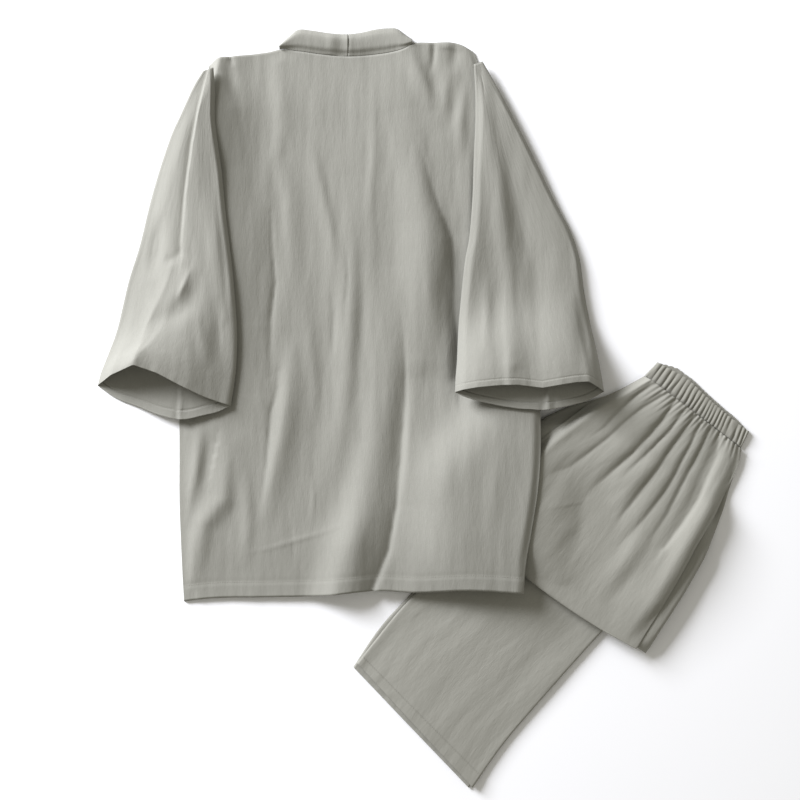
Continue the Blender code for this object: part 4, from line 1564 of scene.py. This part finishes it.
@dataclass
class Sleeve(FlatTube):
    """One sleeve, a flattened tube whose cuff stands open."""

    round_mm: float = 5.0
    hand: Hand = Hand.LEFT
    sections: Sequence[Section] = ()
    mouth: Sequence[Mouth] = ()
    folds: Sequence[Fold] = ()
    inside: Sequence[Fold] = ()
    puff: float = 4.0
    soft_outer: float = 22.0
    soft_inner: float = 5.0
    peak: float = 0.30
    peak_start: float = 0.30
    mouth_from: float = 0.50
    shoulder_firm: float = 6.0
    smooth_share: float = 0.25
    deepest: float = -0.7
    hem: Hem = Hem(18.0, 0.5, 0.5, puckers=Crinkle(6.0, 30.0, 0.3, 31), pucker_reach=27.0)
    facing: Hem = Hem(18.0, 0.6, 0.8)
    hem_shows: bool = True

    @property
    def width(self) -> float:
        """Return the width at the cuff."""
        end = self.sections[-1]
        return math.hypot(end.outer_x - end.inner_x, end.outer_y - end.inner_y)

    @property
    def length(self) -> float:
        """Return the length from the shoulder to the hem."""
        return 470.0

    def opened(self, s: Array) -> Array:
        """Return how far the sleeve has opened at a share along."""
        return ease((s - self.mouth_from) / (1 - self.mouth_from))

    def place(self, wall: Wall, u: Array, s: Array) -> tuple[Array, Array]:
        """Return the point of a wall, drawn back or forward towards the open cuff.

        Args:
            wall: Which wall it is.
            u: Share across, from the outer edge.
            s: Share along, from the shoulder.

        Returns:
            The point's x and y.
        """
        knots = np.linspace(0.0, 1.0, len(self.sections))
        ax, ay, bx, by = (curve(knots, column, s) for column in zip(*self.sections))
        across, back, forward, _ = zip(*self.mouth)
        way = np.interp(u, across, back) if wall is Wall.UPPER else -curve(across, forward, u)
        return ax + (bx - ax) * u, ay + (by - ay) * u + way * self.opened(s)

    def base(self, ground: Ground, x: Array, y: Array) -> Array:
        """Return the height at which the lower wall lies."""
        return over(ground.under(x, y, 3, 7), LAY_GAP)

    def clear(self, u: Array, s: Array) -> Array:
        """Return the room between the walls: the puff and folds of the sleeve, and the tent of its open cuff.

        Args:
            u: Share across, from the outer edge.
            s: Share along, from the shoulder.

        Returns:
            The room at each point.
        """
        knots = np.linspace(0.0, 1.0, len(self.sections))
        span = curve(knots, [math.hypot(ox - ix, oy - iy) for ox, oy, ix, iy in self.sections], s)
        round_up = ease(u * span / self.soft_outer) * ease((1 - u) * span / self.soft_inner)
        x, y = self.place(Wall.UPPER, u, s)
        flat = self.puff * round_up * ease(s * self.shoulder_firm) + relief(x, y, self.folds) * round_up
        crinkles = crinkled(x, y, FINE) * round_up
        crest = self.peak + (self.peak_start - self.peak) * (1 - self.opened(s))
        turned = np.where(u < crest, u * self.peak / crest, 1 - (1 - u) * (1 - self.peak) / (1 - crest))
        across, _, _, rise = zip(*self.mouth)
        crisp = np.interp(turned, across, rise)
        tent = crisp * (1 - self.smooth_share) + curve(across, rise, turned) * self.smooth_share
        return SLIT + np.maximum(flat + crinkles, 0.0) + tent * self.opened(s)

    def upper_relief(self, u: Array, s: Array) -> Array:
        """Return the hem and its puckers on the upper wall."""
        from_hem = (1 - s) * self.length
        return self.hem.height(from_hem) * self.hem_shows + self.hem.puckered(u * self.width, from_hem)

    def inside_relief(self, u: Array, s: Array) -> Array:
        """Return the seam and the hem's facing on the lower wall's inside."""
        seam = relief(*self.place(Wall.LOWER, u, s), self.inside) * self.opened(s)
        return np.maximum(seam + self.facing.height((1 - s) * self.length), self.deepest)

    def build(self, ground: Ground) -> bpy.types.Object:
        """Lay the sleeve on the back and the floor, and sew its hem.

        Args:
            ground: What has been laid so far.

        Returns:
            The sleeve.
        """
        node = "sleeve_" + self.hand.value
        u = edge_steps(self.width, 66, self.round_mm)
        stations = np.concatenate([np.linspace(0, 0.88, 128), np.linspace(0.88, 1.0, 34)[1:]])
        made, outer, inner = self.lay(node + "_cloth", ground, u, stations)
        flat = (2 * self.width * MM, self.length * MM)
        self.dress(made, node, flat, Held.LAID, ["jacket_back"], area=cut_area(made, flat))
        half = len(u)
        station = self.nearest(stations, self.hem.depth)
        seams = [loop[4:-4] + (0, 0, self.thread_lift) for loop in (outer[station, half:], inner[station, :half])]
        Stitching(node + "_stitches").sew(seams if self.hem_shows else seams[1:])
        return made


# The back's folds, from the photo: rises, widths to the left and right, and paths down the cloth.
BACK_FOLDS = (
    Fold(0, 10, 15, 22, 26, (
        (-48, 190), (-50, 140), (-52, 90), (-56, 20), (-64, -50), (-75, -103), (-84, -140), (-100, -190),
        (-118, -268),
    ), 0.25),
    Fold(0, -5, -6, 13, 4, (
        (-34, 145), (-28, 117), (-24, 73), (-24, 4), (-30, -75), (-36, -132), (-47, -191), (-69, -245),
        (-79, -268),
    ), 0.5, True),
    Fold(0, 2, 3, 45, 80, ((22, 120), (16, 30), (12, -55), (6, -121), (-4, -188), (-16, -250)), 0.3),
    Fold(0, 10, 4, 28, 25, ((-24, 400), (-12, 336), (-4, 293), (4, 252), (6, 211), (4, 157), (0, 70))),
    Fold(0, -7, -3, 13, 38, (
        (-14, 369), (0, 333), (12, 293), (27, 253), (38, 228), (44, 150), (47, 90), (45, 40),
    ), sharp=True),
    Fold(3, 4, 0, 14, 10, ((-22, 482), (-13, 462), (-4, 444), (6, 420), (13, 398))),
    Fold(0, -1.5, 0, 9, 10, ((2, 462), (12, 436), (20, 404))),
    Fold(0, -2, 0, 12, 9, ((44, 440), (40, 400), (28, 360))),
    Fold(0, 6, 0, 20, 18, (
        (-98, 310), (-98, 237), (-97, 181), (-97, 111), (-99, 44), (-107, -21), (-122, -88), (-137, -150),
    )),
    Fold(2, 2.2, 0, 11, 14, (
        (-192, 460), (-189, 377), (-195, 336), (-180, 280), (-176, 211), (-173, 139), (-172, 60),
    )),
    Fold(0, 6, 0, 11, 18, ((-173, 100), (-180, 28), (-190, -39), (-200, -88), (-213, -160))),
    Fold(-1, -3, -1, 5, 5, (
        (-204, 262), (-201, 205), (-198, 167), (-204, 120), (-205, 73), (-204, 42),
    ), sharp=True),
    Fold(-1, -3, 0, 5, 7, (
        (-195, 50), (-195, 29), (-200, 7), (-204, -3), (-207, -40), (-210, -78), (-216, -119), (-223, -154),
    ), sharp=True),
    Fold(0, 2, 0, 8, 8, ((-153, 136), (-149, 82), (-144, 23), (-145, -28))),
    Fold(0, -2, 0, 5, 7, ((-123, 155), (-120, 130), (-121, 92), (-123, 60)), sharp=True),
    Fold(0, -2.5, 0, 10, 8, ((-82, 243), (-84, 186), (-82, 130), (-85, 73), (-90, 23), (-98, -15))),
    Fold(0, -1.5, 0, 3, 5, ((-105, 237), (-101, 180), (-105, 130), (-108, 92)), sharp=True),
    Fold(0, -1.5, -1, 9, 8, ((33, 205), (32, 167), (40, 142), (46, 98), (44, 40))),
    Fold(0, -2.5, 0, 8, 10, ((-284, -21), (-287, -47), (-296, -91), (-306, -128), (-312, -173))),
    Fold(0, 1.2, 0, 4, 4, ((-149, -91), (-147, -122), (-149, -160)), sharp=True),
    Fold(0, -1.2, 0, 4, 4, ((-177, -147), (-174, -185), (-175, -217)), sharp=True),
    Fold(0, 2.5, 0, 10, 7, ((-152, 370), (-146, 336), (-133, 280), (-122, 224), (-118, 150))),
    Fold(0, 2, 0, 8, 8, ((-70, 420), (-66, 340), (-72, 260), (-68, 200))),
    Fold(0, 5, 3, 14, 14, ((-252, -30), (-260, -60), (-268, -121), (-294, -155), (-312, -225))),
    Fold(0, 4, 0, 9, 10, ((-298, -20), (-306, -104), (-316, -160))),
    Fold(0, 2.5, 0, 9, 9, ((-250, -60), (-238, -88), (-234, -155), (-240, -220))),
    Fold(0, 1.5, 0, 9, 9, ((96, -60), (88, -120), (84, -190))),
    Fold(0, 3, 0, 14, 11, ((24, 150), (32, 90), (32, 30), (24, -30))),
    Fold(0, 6, 0, 9, 46, ((-18, 40), (-18, -30), (-22, -80), (-28, -130))),
    Fold(7, 9, 0, 8, 30, ((-290, 462), (-284, 420), (-279, 370), (-274, 320))),
    Fold(0, 1.1, 0.3, 2.5, 2.5, (
        (-246, -196), (-208, -188), (-174, -178), (-139, -168), (-108, -156),
    ), sharp=True),
    Fold(10, 17, 4, 26, 60, (
        (-294, 450), (-289, 380), (-281, 300), (-270, 200), (-260, 110), (-262, 20), (-270, -20),
    )),
    Fold(-3, -2, 0, 4, 4, ((14, 485), (13, 466), (10, 446))),
    Fold(-3, -2, 0, 9, 9, ((43, 479), (41, 466), (38, 448))),
    Fold(-3, -2.5, 0, 2.5, 3.5, ((-259, 470), (-257, 464), (-254, 456)), sharp=True),
    Fold(1.6, 2, 1.6, 4, 3, ((14, 485), (30, 484), (48, 481)), sharp=True),
    Fold(0, 1.2, 0, 8, 7, ((32, 462), (30, 420), (34, 370))),
    Fold(0, 2.5, 0, 8, 7, ((54, 440), (50, 390), (50, 330))),
    Fold(0, 2.5, 0, 22, 5, ((60, 370), (62, 300), (62, 240), (60, 190))),
    Fold(-2, -3, 0, 10, 8, ((-260, 466), (-256, 430), (-250, 400))),
)
# The sleeves' sections, from the shoulder to the hem.
LEFT_SLEEVE = (
    Section(-293, 447, -279, 452),
    Section(-305, 427, -277, 422),
    Section(-322, 391, -277, 386),
    Section(-335, 364, -274, 357),
    Section(-352, 318, -268, 313),
    Section(-366, 272, -263, 261),
    Section(-380, 217, -257, 211),
    Section(-395, 170, -252, 164),
    Section(-410, 107, -248, 104),
    Section(-423, 71, -249, 61),
    Section(-432, 48, -252, 33),
    Section(-437, 30, -257, 3),
)
RIGHT_SLEEVE = (
    Section(79, 463, 67, 459),
    Section(101, 424, 69, 419),
    Section(122, 385, 69, 381),
    Section(144, 342, 67, 333),
    Section(175, 278, 65, 279),
    Section(197, 236, 61, 229),
    Section(209, 200, 55, 195),
    Section(215, 157, 50, 149),
    Section(223, 114, 46, 104),
    Section(231, 75, 44, 63),
    Section(236, 44, 42, 40),
    Section(239, 22, 41, 21),
)
# The open cuffs, from the outer edge to the inner edge.
LEFT_MOUTH = (
    Mouth(0.00, 0, 0, 0),
    Mouth(0.12, 17, 12, 22),
    Mouth(0.30, 35, 20, 38),
    Mouth(0.47, 29, 27, 29),
    Mouth(0.64, 17, 28, 18),
    Mouth(0.80, 7, 18, 9),
    Mouth(0.90, 3, 11, 4),
    Mouth(1.00, 0, 0, 0),
)
RIGHT_MOUTH = (
    Mouth(0.00, 0, 0, 0),
    Mouth(0.05, 6, 6, 9),
    Mouth(0.11, 13, 12, 14),
    Mouth(0.20, 12, 17, 14),
    Mouth(0.30, 9, 21, 12),
    Mouth(0.42, 5, 24, 9),
    Mouth(0.50, 7, 23, 9),
    Mouth(0.58, 9, 22, 12),
    Mouth(0.645, 9, 20, 15),
    Mouth(0.68, 9, 19, 13.5),
    Mouth(0.75, 8, 16, 14),
    Mouth(0.86, 6, 11, 13.5),
    Mouth(0.95, 3, 5, 8.5),
    Mouth(1.00, 0, 0, 0),
)
# The sleeves' folds, and the seams inside their cuffs.
LEFT_SLEEVE_FOLDS = (
    Fold(-1, -4, -4, 7, 8, ((-287, 454), (-300, 397), (-309, 348), (-318, 284), (-324, 205)), sharp=True),
    Fold(1.5, 4, 3, 16, 14, (
        (-333, 196), (-340, 170), (-351, 145), (-367, 112), (-376, 84), (-386, 60),
    ), sharp=True),
    Fold(0, 1.5, 1, 22, 6, ((-286, 330), (-280, 260), (-272, 190), (-266, 120))),
    Fold(5, 6, 3, 3, 26, ((-284, 454), (-297, 397), (-306, 348), (-315, 284), (-321, 215)), sharp=True),
    Fold(2, 4, 0, 5, 9, ((-312, 178), (-319, 160), (-329, 142)), sharp=True),
    Fold(-1, -4, -1, 12, 13, ((-300, 170), (-313, 138), (-334, 122), (-354, 114))),
    Fold(0, -2, 0, 7, 6, ((-347, 198), (-337, 197), (-325, 197))),
    Fold(0, 1.5, 0, 14, 10, ((-352, 300), (-358, 250), (-366, 200), (-374, 150))),
    Fold(0, -5, 0, 10, 10, ((-352, 262), (-357, 230), (-362, 196), (-366, 170))),
    Fold(0, 1.5, 0, 10, 9, ((-284, 280), (-278, 230), (-274, 160))),
    Fold(0, 2, 0, 8, 8, ((-300, 130), (-292, 90), (-286, 50))),
    Fold(0, -2, 0, 8, 8, ((-276, 150), (-272, 100), (-270, 50))),
)
RIGHT_SLEEVE_FOLDS = (
    Fold(0, 4, 2, 13, 10, ((70, 466), (77, 411), (86, 377), (99, 313), (108, 232), (115, 168), (118, 60))),
    Fold(0, -4, 0, 14, 19, ((103, 393), (115, 329), (132, 248), (148, 196), (157, 120), (156, 50))),
    Fold(0, 4, 2, 26, 7, ((172, 300), (205, 226), (222, 160), (233, 90), (240, 36))),
    Fold(0, -2.5, 0, 9, 9, ((206, 150), (212, 100), (216, 50))),
    Fold(0, 2.5, 0, 7, 7, ((84, 180), (84, 120), (80, 60))),
    Fold(-2, -1, 0, 4, 3, ((74, 456), (80, 430), (82, 400)), sharp=True),
)
LEFT_INSIDE = (
    Fold(1.5, 3, 2, 2, 5, ((-323, 60), (-324, 20), (-326, -20)), sharp=True),
    Fold(-2, -3, -2, 3, 1.5, ((-327, 60), (-328, 20), (-330, -20)), sharp=True),
)
RIGHT_INSIDE = (
    Fold(1.5, 3.5, 3, 3, 7, ((164, 60), (163, 20), (164, -10)), sharp=True),
    Fold(-2, -4, -2, 4, 2, ((159, 60), (158, 20), (157, -10)), sharp=True),
    Fold(-1, -2, -1, 2, 3, ((171, 60), (170, 20), (176, -10)), sharp=True),
)
# The trousers' stretches, from the hem or the waist to the fold.
HEM_FAR = (
    Leg(-94, -347, 61, -509),
    Leg(-69, -309, 98, -453),
    Leg(-47, -281, 133, -412),
    Leg(-16, -248, 170, -371),
    Leg(17, -211, 202, -336),
    Leg(49, -176, 235, -300),
    Leg(99, -129, 286, -251),
    Leg(169, -64, 350, -183),
)
HEM_NEAR = (
    Leg(-89, -341, 66, -508),
    Leg(-64, -310, 103, -455),
    Leg(-35, -274, 138, -413),
    Leg(-11, -248, 174, -372),
    Leg(22, -211, 206, -336),
    Leg(54, -176, 239, -300),
    Leg(102, -129, 289, -251),
    Leg(171, -64, 353, -183),
)
FOLDED_CORE = (
    Leg(177, -45, 358, -171),
    Leg(162, -63, 347, -189),
    Leg(135, -96, 326, -227, 2),
    Leg(102, -133, 302, -264, 5),
    Leg(75, -155, 273, -299, 8),
)
LEG_FAR = (
    Leg(298, 38, 426, -56),
    Leg(265, 23, 418, -83),
    Leg(227, 11, 410, -107),
    Leg(190, 0, 399, -143),
    Leg(153, -20, 378, -193),
    Leg(129, -59, 355, -235),
    Leg(107, -97, 334, -269, 2),
    Leg(83, -127, 314, -300, 4),
    Leg(67, -148, 297, -328, 4),
)
LEG_NEAR = (
    Leg(296, 43, 425, -54),
    Leg(261, 24, 422, -73),
    Leg(224, 7, 409, -103),
    Leg(190, -17, 390, -140),
    Leg(157, -42, 366, -180),
    Leg(129, -73, 345, -219),
    Leg(102, -103, 321, -260, 3),
    Leg(75, -132, 298, -296, 8),
    Leg(57, -155, 283, -321, 11),
)
# The folds that run down the near leg from the gathers.
GATHER_FOLDS = (
    Fold(-3, -4, 0, 5, 10, ((303, 32), (286, 19), (267, 1), (240, -26), (210, -45)), 0.8, True),
    Fold(-3, -4, -1, 6, 11, (
        (316, 16), (292, 0), (270, -18), (246, -39), (216, -62), (194, -78), (167, -88),
    ), 0.8, True),
    Fold(-4, -6, -1, 6, 12, (
        (334, 9), (319, -15), (303, -35), (275, -62), (251, -83), (226, -108), (210, -124),
    ), 0.8, True),
    Fold(-3, -4, 0, 4, 8, ((346, -5), (329, -29), (308, -51), (281, -75), (259, -97)), 0.6, True),
    Fold(-4, -5, -1, 5, 11, (
        (360, -11), (346, -32), (319, -70), (292, -105), (270, -135), (248, -165), (237, -184),
    ), 1.0, True),
    Fold(-3, -4, -1, 4, 8, (
        (369, -21), (357, -48), (338, -83), (319, -113), (292, -149), (259, -184),
    ), 0.9, True),
    Fold(-4, -4, -1, 4, 8, (
        (383, -28), (372, -51), (360, -75), (343, -103), (324, -141), (303, -173),
    ), 0.7, True),
    Fold(-5, -9, -3, 12, 4, (
        (396, -37), (391, -62), (380, -88), (363, -124), (342, -157), (322, -184),
    ), 0.3, True),
    Fold(-2, -1.5, 0, 3, 5, ((402, -43), (394, -62), (386, -83)), sharp=True),
    Fold(-2, -1.5, 0, 3, 5, ((417, -43), (413, -56), (409, -75)), sharp=True),
    Fold(-4, -11, -6, 40, 48, ((200, -56), (208, -83), (224, -123), (224, -163), (214, -203), (200, -240))),
    Fold(2, 9, 4, 22, 9, ((404, -104), (384, -140), (360, -180), (339, -219), (315, -258))),
    Fold(0, 1.5, 0, 12, 12, ((300, -160), (268, -205), (240, -240))),
    Fold(0, 1.5, 0, 12, 12, ((250, -140), (222, -180), (190, -215))),
    Fold(0, -1.5, 0, 10, 10, ((290, -205), (262, -240), (236, -270))),
)


@dataclass(frozen=True)
class Studio:
    """The plain pale floor, the soft light and the camera straight above, with places and sizes in metres."""

    lens: float = 85.0
    sensor: float = 36.0
    field: float = 1.0667
    field_height: float = 0.015
    centre: tuple[float, float] = (-0.0315, 0.0107)
    floor_size: float = 8.0
    floor_depth: float = 0.0004
    floor_colour: Colour = (0.93, 0.93, 0.93)
    key_power: float = 440.0
    key_size: float = 1.9
    key_place: tuple[float, float, float] = (-3.06, 2.56, 1.84)
    key_colour: Colour = (0.93, 0.945, 1.02)
    air_colour: Colour = (1.0, 0.975, 0.89)
    air_strength: float = 0.40

    def floor(self) -> None:
        """Lay the floor just under the set."""
        half = self.floor_size / 2
        mesh = bpy.data.meshes.new("floor")
        ways = ((-1, -1), (1, -1), (1, 1), (-1, 1))
        mesh.from_pydata([(x * half, y * half, -self.floor_depth) for x, y in ways], [], [(0, 1, 2, 3)])
        mesh.materials.append(plain_material("pale_floor", self.floor_colour, 0.9, 0.1))
        new_object("floor", mesh)

    def lights(self) -> None:
        """Hang a soft light low on the left, with the pale air all round."""
        lamp = bpy.data.lights.new("key_light", "AREA")
        lamp.energy = self.key_power
        lamp.size = self.key_size
        lamp.color = self.key_colour
        made = new_object("key_light", lamp)
        made.location = self.key_place
        x, y, z = (-c for c in self.key_place)
        made.rotation_euler = (math.atan2(math.hypot(x, y), -z), 0.0, math.atan2(y, x) - math.pi / 2)
        world = bpy.data.worlds.new("studio_air")
        world.use_nodes = True
        air = world.node_tree.nodes["Background"]
        air.inputs["Color"].default_value = (*self.air_colour, 1.0)
        air.inputs["Strength"].default_value = self.air_strength
        bpy.context.scene.world = world

    def camera(self) -> None:
        """Hang the camera straight above the set."""
        seen = bpy.data.cameras.new("camera")
        seen.lens = self.lens
        seen.sensor_width = self.sensor
        made = new_object("camera", seen)
        made.location = (*self.centre, self.field * self.lens / self.sensor + self.field_height)
        bpy.context.scene.camera = made
        bpy.context.scene.view_settings.view_transform = "Standard"


def main() -> None:
    """Lay every piece from the floor up, and set up the studio."""
    studio = Studio()
    studio.floor()
    studio.lights()
    studio.camera()
    ground = Ground()
    trousers = ("trouser_cloth", TROUSER_CLOTH)
    jacket = ("jacket_cloth", JACKET_CLOTH)
    LegEnd(*trousers, node="trouser_hem_far", table=HEM_FAR, seed=1).build(ground)
    below = ("trouser_hem_far",)
    LegEnd(*trousers, node="trouser_hem_near", table=HEM_NEAR, seed=2, rests_on=below).build(ground)
    below = ("trouser_hem_near",)
    Stack(*trousers, node="trouser_folded_core", table=FOLDED_CORE, thick=6.0, rests_on=below).build(ground)
    below = ("trouser_folded_core",)
    Stack(*trousers, node="trouser_leg_far", table=LEG_FAR, rests_on=below).build(ground)
    NearLeg(*trousers, table=LEG_NEAR, folds=GATHER_FOLDS).build(ground)
    Waistband("band_cloth", BAND_CLOTH).build(ground)
    Front(*jacket, Hand.RIGHT, (0.40, 0.41, 0.44, 0.57, 0.70, 0.80)).build(ground)
    Front(*jacket, Hand.LEFT, (0.62, 0.61, 0.58, 0.44, 0.31, 0.23)).build(ground)
    across, top_edge = Back(*jacket, BACK_FOLDS).build(ground)
    for hand, lift in ((Hand.LEFT, 8.0), (Hand.RIGHT, 5.5)):
        Neckband("collar_cloth", JACKET_CLOTH, hand, lift=lift).build(across, top_edge, ground)
    Sleeve(
        *jacket,
        hand=Hand.LEFT,
        sections=LEFT_SLEEVE,
        mouth=LEFT_MOUTH,
        folds=LEFT_SLEEVE_FOLDS,
        inside=LEFT_INSIDE,
        puff=3.2,
        soft_inner=6.0,
        peak_start=0.47,
        mouth_from=0.56,
        hem_shows=False,
    ).build(ground)
    Sleeve(
        *jacket,
        hand=Hand.RIGHT,
        sections=RIGHT_SLEEVE,
        mouth=RIGHT_MOUTH,
        folds=RIGHT_SLEEVE_FOLDS,
        inside=RIGHT_INSIDE,
        soft_outer=6.0,
        soft_inner=11.0,
    ).build(ground)


if __name__ == "__main__":
    logging.basicConfig(level=logging.INFO, format="%(message)s")
    main()
